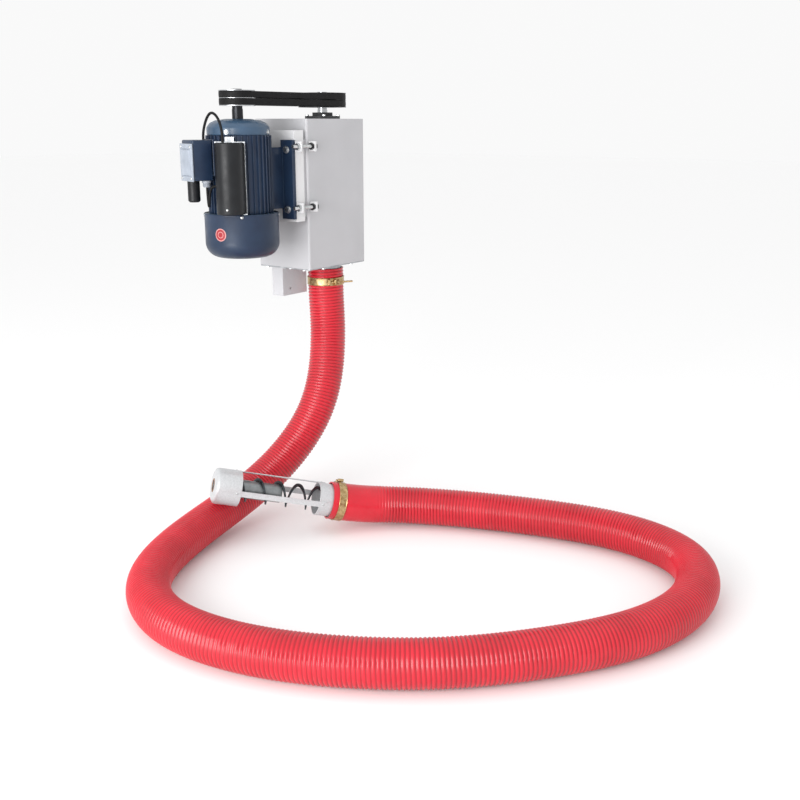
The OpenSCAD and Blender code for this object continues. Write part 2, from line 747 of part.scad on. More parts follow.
module lower_shield() {
  color("steelblue") at_motor(0) difference() {
    union() {
      translate([0, 0, lower_shield_z]) cylinder(r = frame_radius, h = 10);
      translate([0, 0, lower_shield_z]) cylinder(r = 38, h = 12 + bearing_width);
      for (a = [45 : 90 : 315]) rotate([0, 0, a]) translate([60, -9, lower_shield_z])
        cube([cowl_radius - sheet - 61 - curve_gap, 18, 10]);
    }
    translate([0, 0, lower_shield_z - 1]) cylinder(r = shaft_radius + 2, h = 40);
    translate([0, 0, motor_bearing_low - bearing_width])
      cylinder(r = bearing_outer / 2 + running_fit, h = bearing_width + 1);
    cowl_screw_places() cylinder(r = 2.7, h = 20);
  }
}

module cowl_screw_places() {
  for (a = [45 : 90 : 315]) rotate([0, 0, a])
    translate([cowl_radius, 0, lower_shield_z + 5]) rotate([0, -90, 0]) children();
}

module fan_cowl() {
  r = cowl_round;
  wall = sheet;
  top = frame_bottom + 1;
  color("midnightblue") at_motor(0) difference() {
    union() {
      translate([0, 0, cowl_bottom + r]) cylinder(r = cowl_radius, h = top - cowl_bottom - r, $fn = 96);
      translate([0, 0, cowl_bottom]) cylinder(r = cowl_radius - r, h = r + 1);
      rotate_extrude($fn = 96) intersection() {
        translate([cowl_radius - r, cowl_bottom + r]) circle(r);
        translate([cowl_radius - r, cowl_bottom]) square([r, r]);
      }
    }
    translate([0, 0, cowl_bottom + r]) cylinder(r = cowl_radius - wall, h = 400, $fn = 96);
    translate([0, 0, cowl_bottom + wall]) cylinder(r = cowl_radius - r, h = r);
    rotate_extrude($fn = 96) intersection() {
      translate([cowl_radius - r, cowl_bottom + r]) circle(r - wall);
      translate([cowl_radius - r - 0.01, cowl_bottom]) square([r, r + 0.01]);
    }
    for (y = [-45 : 15 : 45]) translate([-40, y - 3, cowl_bottom - 1]) cube([80, 6, wall + 2]);
    cowl_screw_places() translate([0, 0, -1]) cylinder(r = 2.8, h = 6);
  }
}

module motor_screws() {
  color("silver") at_motor(0) {
    cowl_screw_places() {
      translate([0, 0, -3]) cylinder(r = 4.5, h = 3);
      cylinder(r = 2.5, h = 16);
    }
  }
}

module stator_core() {
  color("darkslategray") at_motor(core_z - core_half) difference() {
    cylinder(r = frame_bore - running_fit, h = 2 * core_half);
    translate([0, 0, -1]) cylinder(r = rotor_radius + 0.5, h = 2 * core_half + 2);
  }
}

module stator_windings() {
  color("darkorange") for (z = [core_z - core_half - 22, core_z + core_half]) at_motor(z)
    difference() {
      cylinder(r = frame_bore - 5, h = 22);
      translate([0, 0, -1]) cylinder(r = rotor_radius + 5, h = 24);
    }
}

module motor_bearing_outer() {
  color("silver") at_motor(0) {
    bearing(true, motor_bearing_top);
    bearing(true, motor_bearing_low);
  }
}

module terminal_box() {
  half = terminal_half;
  wall = 3;
  color("midnightblue") around_motor(terminal_angle, terminal_z) difference() {
    translate([pad_radius, -half, 0]) cube([terminal_face - pad_radius, 2 * half, terminal_height]);
    translate([pad_radius + wall, wall - half, wall])
      cube([terminal_face - pad_radius, 2 * (half - wall), terminal_height - 2 * wall]);
  }
}

module terminal_lid() {
  lip = 3;
  color("lightsteelblue") around_motor(terminal_angle, terminal_z) difference() {
    translate([terminal_face, -terminal_half - lip, -2]) cube([lid_thickness,
      2 * (terminal_half + lip), terminal_height - 7]);
    lid_screw_places() translate([0, 0, -1]) cylinder(r = 2.3, h = lid_thickness + 3);
  }
}

module lid_screw_places() {
  for (y = [7 - terminal_half, terminal_half - 7]) for (z = [6, terminal_height - 17])
    translate([terminal_face, y, z]) rotate([0, 90, 0]) children();
}

module lid_screws() {
  color("silver") around_motor(terminal_angle, terminal_z) lid_screw_places() {
    cylinder(r = 2, h = lid_thickness);
    translate([0, 0, lid_thickness]) cylinder(r = 4, h = 2.5);
  }
}

module cable_gland() {
  color("gray") around_motor(terminal_angle, terminal_z - gland_height)
    translate([gland_radius, gland_side, 0])
    difference() {
      union() {
        cylinder(r = 11, h = gland_height - 6);
        translate([0, 0, gland_height - 6]) cylinder(r = 13, h = 6, $fn = 6);
      }
      translate([0, 0, -1]) cylinder(r = 4, h = gland_height + 2);
    }
}

module capacitor_bracket() {
  color("silver") around_motor(capacitor_angle, frame_bottom + 2) {
    translate([pad_radius, -41, 0]) cube([2, 82, capacitor_height + 4]);
    translate([pad_radius, -12, capacitor_height + 4]) cube([2, 24, 12]);
  }
}

module start_capacitor_cover() {
  r = 37;
  flat_depth = 14;
  wall = 2.5;
  color([0.1, 0.1, 0.1]) around_motor(capacitor_angle, frame_bottom + 4)
    translate([pad_radius + 2, 0, 0]) difference() {
      union() {
        translate([0, -r, 0]) cube([flat_depth, 2 * r, capacitor_height]);
        translate([flat_depth, 0, 0]) cylinder(r = r, h = capacitor_height);
      }
      translate([-1, -r + wall, wall]) cube([flat_depth + 1, 2 * (r - wall), capacitor_height - 2 * wall]);
      translate([flat_depth, 0, wall]) cylinder(r = r - wall, h = capacitor_height - 2 * wall);
      translate([-r - 10, -r - 1, -1]) cube([r + 10, 2 * r + 2, capacitor_height + 2]);
    }
}

module start_capacitor() {
  color("silver") around_motor(capacitor_angle, frame_bottom + 14)
    translate([pad_radius + 2 + 22 + curve_gap, 0, 0]) cylinder(r = 22, h = capacitor_height - 50);
}

module run_capacitor() {
  length = 58;
  color([0.12, 0.12, 0.12]) around_motor(terminal_angle, terminal_z - length)
    translate([terminal_face - 17, -10, 0]) cylinder(r = 16.5, h = length);
}

module terminal_lead() {
  color([0.08, 0.08, 0.08]) rod(spline(TERMINAL_LEAD_POINTS, 4), 3.5, 8);
}

module capacitor_lead() {
  color([0.08, 0.08, 0.08]) rod(spline(CAPACITOR_LEAD_POINTS, 4), 3.5, 8);
}

module rating_disc() {
  color("indianred") intersection() {
    at_motor(cowl_bottom + 40) difference() {
      cylinder(r = cowl_radius + 0.6, h = 60, $fn = 96);
      translate([0, 0, -1]) cylinder(r = cowl_radius + 0.05, h = 62, $fn = 96);
    }
    around_motor(190, cowl_bottom + 68) rotate([0, 90, 0]) cylinder(r = 17, h = 200);
  }
}

// A stepped shaft from the lower end to the pulley end, with a keyway at the pulley
module shaft(bottom, shoulder) {
  difference() {
    union() {
      translate([0, 0, bottom]) cylinder(r = shaft_radius - running_fit, h = shoulder - bottom);
      translate([0, 0, shoulder]) cylinder(r = stub_radius, h = shaft_top - shoulder);
    }
    translate([stub_radius - 4, -4, belt_z - 16]) cube([10, 8, 32]);
  }
}

module shaft_key() {
  translate([stub_radius - 4, -4 + curve_gap / 3, belt_z - 16])
    cube([7, 8 - 2 * curve_gap / 3, 32]);
}

module keyed_bore(z0, z1) {
  translate([0, 0, z0]) cylinder(r = stub_radius + running_fit, h = z1 - z0);
  translate([stub_radius - 4, -4, z0]) cube([7 + curve_gap, 8, z1 - z0]);
}

module motor_shaft() {
  color("silver") at_motor(0) shaft(cowl_bottom + 22, belt_z - pulley_half - 8);
}

module rotor_core() {
  color("slategray") at_motor(core_z - core_half) difference() {
    cylinder(r = rotor_radius, h = 2 * core_half);
    translate([0, 0, -1]) cylinder(r = shaft_radius, h = 2 * core_half + 2);
  }
}

module motor_bearing_inner() {
  color("silver") at_motor(0) {
    bearing(false, motor_bearing_top);
    bearing(false, motor_bearing_low);
  }
}

module cooling_fan() {
  z = cowl_bottom + 26;
  color([0.15, 0.15, 0.15]) at_motor(z) difference() {
    union() {
      cylinder(r = 24, h = 44);
      translate([0, 0, 30]) cylinder(r = 60, h = 3);
      for (a = [0 : 60 : 300]) rotate([0, 0, a]) translate([20, -1.5, 6]) cube([56, 3, 26]);
    }
    translate([0, 0, -1]) cylinder(r = shaft_radius, h = 46);
  }
}

// One belt groove's section about the shaft, with a gap around the belt
function groove(r, z) = let (g = curve_gap, h = belt_width / 2, n = h - belt_depth * tan(17)) [
  [r + 2, z - h - g - 2 * tan(17)], [r + 2, z + h + g + 2 * tan(17)],
  [r - belt_depth - 1, z + n + g], [r - belt_depth - 1, z - n - g]
];

module pulley(belt_radius, rim) {
  difference() {
    translate([0, 0, belt_z - pulley_half]) cylinder(r = rim, h = 2 * pulley_half, $fn = 96);
    for (s = [-1, 1]) rotate_extrude($fn = 96)
      polygon(groove(belt_radius, belt_z + s * belt_pitch / 2));
    keyed_bore(belt_z - pulley_half - 1, belt_z + pulley_half + 1);
  }
}

module motor_pulley() {
  color("silver") at_motor(0) pulley(motor_belt_radius, motor_belt_radius + 0.5);
}

module motor_key() {
  color("gray") at_motor(0) shaft_key();
}

module drive_shaft() {
  color("silver") at_drive(0) shaft(drive_bottom, belt_z - pulley_half - 8);
}

module drive_bearing_inner() {
  color("silver") at_drive(0) {
    bearing(false, bearing_top);
    bearing(false, bearing_low);
  }
}

module driven_pulley() {
  color([0.15, 0.15, 0.15]) at_drive(0) difference() {
    pulley(driven_belt_radius, driven_belt_radius + 0.5);
    for (z = [belt_z - pulley_half - 1, belt_z + 5]) for (a = [30 : 60 : 330]) rotate([0, 0, a])
      translate([37, 0, z]) cylinder(r = 12, h = pulley_half - 4);
  }
}

module drive_key() {
  color("gray") at_drive(0) shaft_key();
}

module thrower() {
  color("steelblue") at_drive(thrower_bottom) difference() {
    union() {
      cylinder(r = 24, h = thrower_height);
      for (a = [0 : 90 : 270]) rotate([0, 0, a]) translate([20, -1.5, 0])
        cube([thrower_radius - 20, 3, thrower_height]);
    }
    translate([0, 0, -1]) cylinder(r = shaft_radius, h = thrower_height + 2);
  }
}

module spiral_coupling() {
  color("slategray") at_drive(coupling_bottom) difference() {
    cylinder(r = coupling_radius, h = coupling_top - coupling_bottom);
    translate([0, 0, drive_bottom - coupling_bottom])
      cylinder(r = shaft_radius, h = coupling_top - drive_bottom + 1);
  }
}

module intake_core() {
  top = cage_length - bush_length - 2;
  color("darkgray") on_cage(0) {
    translate([0, 0, top - core_length]) cylinder(d = core_diameter, h = core_length);
    translate([0, 0, top - 1]) cylinder(r = shaft_radius - running_fit, h = bush_length + 2);
  }
}

module intake_spiral() {
  top = cage_length - bush_length - 8;
  count = floor(top / spiral_pitch * 20);
  centres = [for (k = [0 : count]) [0, 0, k * spiral_pitch / 20]];
  inner = core_diameter / 2 / cos(9) + curve_gap;
  color([0.2, 0.2, 0.2]) on_cage(4) flight(centres, [for (c = centres) [0, 0, 1]],
    [for (c = centres) [1, 0, 0]], inner, inner + flight_depth, flight_thickness, 18);
}

// One belt as a closed loop of wedge-shaped sections around both pulleys
module belt(z) {
  lean = asin((driven_belt_radius - motor_belt_radius) / shaft_distance);
  steps = 24;
  top = belt_width / 2;
  low = top - belt_depth * tan(17);
  driven_arc = [for (k = [0 : steps])
    [drive_x, driven_belt_radius, -90 - lean + k * (180 + 2 * lean) / steps]];
  motor_arc = [for (k = [0 : steps])
    [motor_x, motor_belt_radius, 90 + lean + k * (180 - 2 * lean) / steps]];
  stations = concat(driven_arc, motor_arc);
  count = len(stations);
  function at(s, r, dz) = [s[0] + r * cos(s[2]), drive_y + r * sin(s[2]), z + dz];
  points = flat([for (s = stations) [at(s, s[1], -top), at(s, s[1], top),
    at(s, s[1] - belt_depth, low), at(s, s[1] - belt_depth, -low)]]);
  polyhedron(points, split(flat([for (i = [0 : count - 1]) skin(i, (i + 1) % count, 4)])));
}

module v_belts() {
  color([0.08, 0.08, 0.08]) for (s = [-1, 1]) belt(belt_z + s * belt_pitch / 2);
}

housing_shell();
base_plate();
mounting_plate();
discharge_spout();
inlet_pipe();
housing_bolts();
bearing_housing();
drive_bearing_outer();
motor_rail();
tension_lugs();
tension_nuts();
hose();
hose_spiral();
inlet_clamp();
cage_clamp();
clamp_bolts();
cage_collar();
cage_strips();
cage_end_cap();
cage_bush();
cage_rivets();
motor_carriage();
tension_studs();
stud_lock_nuts();
motor_frame();
foot_bolts();
upper_shield();
lower_shield();
fan_cowl();
motor_screws();
stator_core();
stator_windings();
motor_bearing_outer();
terminal_box();
terminal_lid();
lid_screws();
cable_gland();
capacitor_bracket();
start_capacitor_cover();
start_capacitor();
run_capacitor();
terminal_lead();
capacitor_lead();
rating_disc();
motor_shaft();
rotor_core();
motor_bearing_inner();
cooling_fan();
motor_pulley();
motor_key();
drive_shaft();
drive_bearing_inner();
driven_pulley();
drive_key();
thrower();
spiral_coupling();
intake_core();
intake_spiral();
v_belts();
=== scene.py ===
"""Looks of a flexible grain auger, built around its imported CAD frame."""
import json
import logging
import math
from collections.abc import Callable, Iterable, Sequence
from dataclasses import dataclass, field
from enum import Enum

import bpy
import numpy as np
from mathutils import Matrix, Vector


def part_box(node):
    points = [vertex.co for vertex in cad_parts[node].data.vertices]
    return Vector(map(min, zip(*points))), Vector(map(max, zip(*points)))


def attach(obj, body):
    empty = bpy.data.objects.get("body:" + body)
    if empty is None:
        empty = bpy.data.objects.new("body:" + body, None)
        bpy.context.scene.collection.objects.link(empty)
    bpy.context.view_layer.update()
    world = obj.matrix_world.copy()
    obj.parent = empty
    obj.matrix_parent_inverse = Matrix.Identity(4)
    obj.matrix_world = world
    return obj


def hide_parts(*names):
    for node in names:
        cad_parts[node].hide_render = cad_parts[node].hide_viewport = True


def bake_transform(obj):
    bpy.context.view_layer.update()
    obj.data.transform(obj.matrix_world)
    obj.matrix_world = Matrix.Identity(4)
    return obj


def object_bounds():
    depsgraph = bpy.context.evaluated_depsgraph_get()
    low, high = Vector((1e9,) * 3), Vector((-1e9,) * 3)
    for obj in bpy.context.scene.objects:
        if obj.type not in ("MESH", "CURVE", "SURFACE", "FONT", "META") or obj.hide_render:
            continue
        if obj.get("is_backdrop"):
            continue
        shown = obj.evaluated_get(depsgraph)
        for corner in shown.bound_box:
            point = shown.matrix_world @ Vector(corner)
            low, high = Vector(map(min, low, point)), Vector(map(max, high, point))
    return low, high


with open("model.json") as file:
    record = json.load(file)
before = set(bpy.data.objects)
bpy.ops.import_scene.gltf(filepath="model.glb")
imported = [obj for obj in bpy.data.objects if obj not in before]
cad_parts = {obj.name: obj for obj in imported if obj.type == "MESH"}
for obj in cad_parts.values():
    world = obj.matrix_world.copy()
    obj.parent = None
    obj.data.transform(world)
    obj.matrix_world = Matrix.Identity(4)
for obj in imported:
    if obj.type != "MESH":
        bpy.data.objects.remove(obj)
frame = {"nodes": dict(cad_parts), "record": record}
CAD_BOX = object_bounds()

LOG = logging.getLogger("grain_auger")
MM = 0.001
TAU = 2 * math.pi
Point = tuple[float, float, float]


# ---------------------------------------------------------------- node helpers


def linear(code: str, alpha: float = 1.0) -> tuple[float, float, float, float]:
    """Turns an sRGB hex colour into linear values.

    Args:
        code: Six hex digits, with or without a leading hash.
        alpha: Opacity of the colour.

    Returns:
        Linear red, green, blue and alpha.
    """
    digits = code.lstrip("#")
    parts = [int(digits[i:i + 2], 16) / 255 for i in (0, 2, 4)]
    red, green, blue = (c / 12.92 if c <= 0.04045 else ((c + 0.055) / 1.055) ** 2.4 for c in parts)
    return red, green, blue, alpha


def add_node(tree: bpy.types.NodeTree, kind: str, inputs: dict | None = None,
             **settings: object) -> bpy.types.Node:
    """Adds one node with its settings, values and links.

    Args:
        tree: The node tree that gets the node.
        kind: The node's type name.
        inputs: Socket name or number to a value or an output socket.
        settings: Attributes to set on the node before its sockets.

    Returns:
        The new node.
    """
    node = tree.nodes.new(kind)
    for key, value in settings.items():
        setattr(node, key, value)
    for key, value in (inputs or {}).items():
        if isinstance(value, bpy.types.NodeSocket):
            tree.links.new(value, node.inputs[key])
        else:
            node.inputs[key].default_value = value
    return node


# -------------------------------------------------------------------- finishes


class Grain(Enum):
    """Directions in which a texture is drawn out, as scale factors on X, Y and Z."""

    EVEN = (1.0, 1.0, 1.0)
    UPRIGHT = (1.0, 1.0, 0.08)


@dataclass(frozen=True)
class Finish:
    """A surface made of two close colours, a mottled roughness and a fine relief."""

    slot: str
    low: str
    high: str
    metallic: float = 0.0
    roughness: tuple[float, float] = (0.4, 0.5)
    patch_mm: float = 40.0
    grain_mm: float = 1.5
    relief_mm: float = 0.02
    grain: Grain = Grain.EVEN
    coat: float = 0.0
    edge_mm: float = 0.6
    worn: str = ""
    title: str = ""
    gloss: float = 0.5

    def noise(self, tree: bpy.types.NodeTree, at: bpy.types.NodeSocket, size_mm: float,
              detail: float = 3.0) -> bpy.types.NodeSocket:
        """Adds a noise whose blobs are about one size across.

        Args:
            tree: The material's node tree.
            at: Object coordinates, in metres.
            size_mm: Size of the blobs.
            detail: Number of finer layers.

        Returns:
            The noise's value.
        """
        return add_node(tree, "ShaderNodeTexNoise", {
            "Vector": at, "Scale": 1 / (size_mm * MM), "Detail": detail}).outputs["Fac"]

    def spread(self, tree: bpy.types.NodeTree, value: bpy.types.NodeSocket, low: float,
               high: float) -> bpy.types.NodeSocket:
        """Maps a noise value to a range.

        Args:
            tree: The material's node tree.
            value: The noise's value.
            low: Result where the noise is low.
            high: Result where it is high.

        Returns:
            The mapped value.
        """
        return add_node(tree, "ShaderNodeMapRange", {
            "Value": value, "From Min": 0.3, "From Max": 0.7, "To Min": low,
            "To Max": high}).outputs["Result"]

    def mix(self, tree: bpy.types.NodeTree, factor: bpy.types.NodeSocket, first: object,
            second: object) -> bpy.types.NodeSocket:
        """Mixes two colours.

        Args:
            tree: The material's node tree.
            factor: Share of the second colour, from 0 to 1.
            first: A colour's socket or hex code.
            second: A colour's socket or hex code.

        Returns:
            The mixed colour.
        """
        node = add_node(tree, "ShaderNodeMix", data_type="RGBA")
        for name, value in (("A", first), ("B", second)):
            target = next(s for s in node.inputs if s.name == name and s.type == "RGBA")
            if isinstance(value, str):
                target.default_value = linear(value)
            else:
                tree.links.new(value, target)
        tree.links.new(factor, node.inputs["Factor"])
        return next(s for s in node.outputs if s.type == "RGBA")

    def colour(self, tree: bpy.types.NodeTree, at: bpy.types.NodeSocket) -> bpy.types.NodeSocket:
        """Returns the colour of the surface at the given coordinates."""
        patches = self.spread(tree, self.noise(tree, at, self.patch_mm), 0.0, 1.0)
        return self.mix(tree, patches, self.low, self.high)

    def height(self, tree: bpy.types.NodeTree, at: bpy.types.NodeSocket) -> bpy.types.NodeSocket:
        """Returns the fine relief of the surface, from 0 to 1."""
        return self.noise(tree, at, self.grain_mm)

    def material(self) -> bpy.types.Material:
        """Builds the finish's material once and gives the same one on every later call.

        Returns:
            The material.
        """
        name = f"{self.title or self.slot}_finish"
        if name in bpy.data.materials:
            return bpy.data.materials[name]
        material = bpy.data.materials.new(name)
        material.use_nodes = True
        tree = material.node_tree
        tree.nodes.clear()
        where = add_node(tree, "ShaderNodeTexCoord").outputs["Object"]
        at = add_node(tree, "ShaderNodeMapping", {
            "Vector": where, "Scale": self.grain.value}).outputs["Vector"]
        rounded = add_node(tree, "ShaderNodeBevel", {"Radius": self.edge_mm * MM}, samples=4)
        bump = add_node(tree, "ShaderNodeBump", {
            "Height": self.height(tree, at), "Distance": self.relief_mm * MM, "Strength": 1.0,
            "Normal": rounded.outputs["Normal"]})
        paint = self.colour(tree, at)
        if self.worn:
            paint = self.mix(tree, self.edges(tree, rounded), paint, self.worn)
        surface = add_node(tree, "ShaderNodeBsdfPrincipled", {
            "Base Color": paint, "Metallic": self.metallic, "Coat Weight": self.coat,
            "Specular IOR Level": self.gloss,
            "Roughness": self.spread(tree, self.noise(tree, at, self.patch_mm / 3), *self.roughness),
            "Normal": bump.outputs["Normal"]})
        add_node(tree, "ShaderNodeOutputMaterial", {"Surface": surface.outputs["BSDF"]})
        return material

    def edges(self, tree: bpy.types.NodeTree, rounded: bpy.types.Node) -> bpy.types.NodeSocket:
        """Finds worn edges, where the rounded normal leaves the true one.

        Args:
            tree: The material's node tree.
            rounded: The node that rounds the normal.

        Returns:
            A value that is 1 on a worn edge and 0 elsewhere.
        """
        true = add_node(tree, "ShaderNodeNewGeometry").outputs["Normal"]
        near = add_node(tree, "ShaderNodeVectorMath", {0: rounded.outputs["Normal"], 1: true},
                        operation="DOT_PRODUCT").outputs["Value"]
        return add_node(tree, "ShaderNodeMapRange", {
            "Value": near, "From Min": 0.97, "From Max": 0.85}).outputs["Result"]

    def wear(self, *objects: bpy.types.Object) -> None:
        """Gives objects this finish in every material slot.

        Args:
            objects: The objects to dress.
        """
        for item in objects:
            if not item.data.materials:
                item.data.materials.append(self.material())
            for index in range(len(item.data.materials)):
                item.data.materials[index] = self.material()


@dataclass(frozen=True)
class Spangled(Finish):
    """Hot-dip galvanised sheet: zinc crystals that differ a little in tone."""

    spangle_mm: float = 9.0

    def colour(self, tree: bpy.types.NodeTree, at: bpy.types.NodeSocket) -> bpy.types.NodeSocket:
        """Gives each zinc crystal one tone.

        Args:
            tree: The material's node tree.
            at: Object coordinates, in metres.

        Returns:
            The surface's colour.
        """
        cells = add_node(tree, "ShaderNodeTexVoronoi", {
            "Vector": at, "Scale": 1 / (self.spangle_mm * MM)})
        tone = add_node(tree, "ShaderNodeSeparateColor", {"Color": cells.outputs["Color"]})
        return self.mix(tree, tone.outputs["Red"], self.low, self.high)


@dataclass(frozen=True)
class Turned(Finish):
    """Metal cut on a lathe about an upright axis: fine rings up its side."""

    ring_mm: float = 1.2

    def height(self, tree: bpy.types.NodeTree, at: bpy.types.NodeSocket) -> bpy.types.NodeSocket:
        """Draws the tool's rings, coarser than real so that they show.

        Args:
            tree: The material's node tree.
            at: Object coordinates, in metres.

        Returns:
            The relief, from 0 to 1.
        """
        return add_node(tree, "ShaderNodeTexWave", {
            "Vector": at, "Scale": 0.314 / (self.ring_mm * MM), "Distortion": 0.4},
            bands_direction="Z").outputs["Fac"]


@dataclass(frozen=True)
class Woven(Finish):
    """Rubber with a fabric wrap pressed into it: crossed threads."""

    thread_mm: float = 1.4

    def height(self, tree: bpy.types.NodeTree, at: bpy.types.NodeSocket) -> bpy.types.NodeSocket:
        """Draws crossed diagonal threads, coarser than real so that they show.

        Args:
            tree: The material's node tree.
            at: Object coordinates, in metres.

        Returns:
            The relief, from 0 to 1.
        """
        turned = add_node(tree, "ShaderNodeMapping", {
            "Vector": at, "Rotation": (0.0, math.radians(45), math.radians(45))}).outputs["Vector"]
        scale = 0.314 / (self.thread_mm * MM)
        first = add_node(tree, "ShaderNodeTexWave", {"Vector": turned, "Scale": scale},
                         bands_direction="X").outputs["Fac"]
        second = add_node(tree, "ShaderNodeTexWave", {"Vector": turned, "Scale": scale},
                          bands_direction="Z").outputs["Fac"]
        return add_node(tree, "ShaderNodeMath", {0: first, 1: second},
                        operation="MULTIPLY").outputs["Value"]


@dataclass(frozen=True)
class RibbedVinyl(Finish):
    """Soft ribbed vinyl, with painted shade that darkens the folds between the crests."""

    # Colour of the painted shade in the folds between the ribs.
    fold: str = "7c0814"

    def colour(self, tree: bpy.types.NodeTree, at: bpy.types.NodeSocket) -> bpy.types.NodeSocket:
        """Darkens the crest colour towards painted shade by the hose's own fold attribute.

        Args:
            tree: The material's node tree.
            at: Object coordinates, in metres.

        Returns:
            The surface's colour.
        """
        crest = super().colour(tree, at)
        folds = add_node(tree, "ShaderNodeAttribute", attribute_name="fold").outputs["Fac"]
        # How far the painted fold shade darkens each point.
        depth = add_node(tree, "ShaderNodeMapRange", {
            "Value": folds, "From Min": 0.35, "From Max": 1.0, "To Max": 0.75}).outputs["Result"]
        return self.mix(tree, depth, crest, self.fold)


@dataclass(frozen=True)
class PrintedDisc(Finish):
    """A printed vinyl disc with a pale rim and a plain ring, and no lettering."""

    centre: Point = (0.0, 0.0, 0.0)
    radius_mm: float = 17.0

    def colour(self, tree: bpy.types.NodeTree, at: bpy.types.NodeSocket) -> bpy.types.NodeSocket:
        """Draws the print's rings by the distance from the disc's centre.

        Args:
            tree: The material's node tree.
            at: Object coordinates, in metres.

        Returns:
            The surface's colour.
        """
        offset = add_node(tree, "ShaderNodeVectorMath", {0: at, 1: self.centre},
                          operation="SUBTRACT").outputs["Vector"]
        away = add_node(tree, "ShaderNodeVectorMath", {0: offset},
                        operation="LENGTH").outputs["Value"]
        share = add_node(tree, "ShaderNodeMath", {0: away, 1: self.radius_mm * MM},
                         operation="DIVIDE").outputs["Value"]
        ramp = add_node(tree, "ShaderNodeValToRGB", {"Fac": share})
        ramp.color_ramp.interpolation = "CONSTANT"
        stops = [(0.0, self.low), (0.42, self.high), (0.52, self.low), (0.86, self.high)]
        while len(ramp.color_ramp.elements) < len(stops):
            ramp.color_ramp.elements.new(0.5)
        for element, (place, code) in zip(ramp.color_ramp.elements, stops):
            element.position = place
            element.color = linear(code)
        return ramp.outputs["Color"]


# Powder coat on folded steel: pale, even, with a faint orange peel that softens reflections.
BOX_PAINT = Finish("box_paint", "b2b2b5", "bababd", roughness=(0.36, 0.44), patch_mm=160,
                   grain_mm=2.2, relief_mm=0.012, edge_mm=1.2)
# Brushed white paint on the channel: a little whiter and glossier than the box.
CARRIAGE_PAINT = Finish("carriage_paint", "cfcfd1", "dadadb", roughness=(0.3, 0.42), patch_mm=60,
                        grain_mm=3, relief_mm=0.02, worn="9a9a98")
# Galvanised sheet: dull grey crystals.
GALVANISED = Spangled("galvanised", "9a9da0", "b9bcbf", metallic=0.85, roughness=(0.34, 0.5),
                      grain_mm=2, relief_mm=0.01)
# Stove enamel over cast aluminium: deep blue, glossy skin over a slightly pebbled casting.
MOTOR_BLUE = Finish("motor_blue", "16243a", "1d2f47", roughness=(0.34, 0.46), patch_mm=70,
                    grain_mm=2.4, relief_mm=0.05, coat=0.08, gloss=0.35, edge_mm=0.8, worn="4d6a86")
# The same enamel in a lighter blue on the end shields.
SHIELD_BLUE = Finish("shield_blue", "2c4258", "365069", roughness=(0.32, 0.44), patch_mm=60,
                     grain_mm=2.4, relief_mm=0.05, coat=0.15, edge_mm=1.0)
# Grey enamel on a pressed steel lid.
LID_GREY = Finish("lid_grey", "868e9a", "9aa2ae", roughness=(0.32, 0.45), patch_mm=30,
                  grain_mm=1.8, relief_mm=0.02, coat=0.2, edge_mm=0.8)
# Bright zinc plate: bluish white metal, a little cloudy.
ZINC = Finish("zinc_hardware", "b4b7b8", "d0d2d2", metallic=1.0, roughness=(0.22, 0.38),
              patch_mm=6, grain_mm=0.8, relief_mm=0.01, edge_mm=0.4)
# Black oxide on steel: dark, oily sheen, bright where handled.
BLACK_OXIDE = Finish("dark_hardware", "2b2b2d", "434345", metallic=1.0, roughness=(0.3, 0.45),
                     patch_mm=8, grain_mm=0.8, relief_mm=0.01, edge_mm=0.4, worn="8e8e8e")
# Yellow passivated zinc: brassy, with cloudy greenish and reddish areas.
YELLOW_ZINC = Finish("yellow_zinc", "9c8054", "cdb488", metallic=1.0, roughness=(0.24, 0.36),
                     patch_mm=9, grain_mm=0.9, relief_mm=0.01, edge_mm=0.4, worn="e6d6ae")
# Ground bearing steel: near mirror with very fine rings.
GROUND_STEEL = Turned("bearing_steel", "a9abad", "bcbec0", metallic=1.0, roughness=(0.16, 0.26),
                      ring_mm=0.9, relief_mm=0.004, edge_mm=0.3)
# A darker copy of the bearing steel on the motor's turned shaft, as painted shade.
SHADED_SHAFT_STEEL = Turned("bearing_steel", "2b2c2e", "3d3e41", metallic=1.0, roughness=(0.28, 0.4),
                     ring_mm=0.9, relief_mm=0.004, edge_mm=0.3, title="oiled_steel")
# Sand-cast iron under grey paint: rough skin.
CAST_IRON = Finish("cast_iron", "3a3b3d", "48494b", metallic=0.2, roughness=(0.5, 0.65),
                   patch_mm=20, grain_mm=1.6, relief_mm=0.12, edge_mm=0.8)
# Turned cast iron, blackened: rings at the rim.
PULLEY_BLACK = Turned("pulley_black", "161617", "222224", metallic=0.5, roughness=(0.35, 0.5),
                      ring_mm=1.3, relief_mm=0.02, edge_mm=0.8, worn="5c5c5e")
# Turned aluminium: bright rings.
PULLEY_SILVER = Turned("pulley_silver", "b9bbbe", "cfd1d3", metallic=1.0, roughness=(0.24, 0.34),
                       ring_mm=1.3, relief_mm=0.015, edge_mm=0.5)
# Plasticised vinyl, extruded and ribbed: saturated red with a soft gloss, and painted shade darkening the
# folds between the ribs and the bore.
RED_VINYL = RibbedVinyl("red_pvc", "b90d22", "cc162b", roughness=(0.3, 0.42), patch_mm=90,
                        grain_mm=2.5, relief_mm=0.03, coat=0.15, edge_mm=0.2)
# Rolled spring steel polished by grain: dark with bright rubbed edges.
SPRING_STEEL = Finish("spiral_steel", "303336", "505458", metallic=1.0, roughness=(0.28, 0.42),
                      patch_mm=18, grain_mm=1.2, relief_mm=0.02, edge_mm=0.5, worn="8d9194")
# Drawn steel tube scoured by grain: mid grey, satin.
CORE_STEEL = Finish("spiral_steel", "7b7f80", "94989a", metallic=0.85, roughness=(0.34, 0.46),
                    patch_mm=16, grain_mm=1.2, relief_mm=0.01, edge_mm=0.5, title="core_tube_steel")
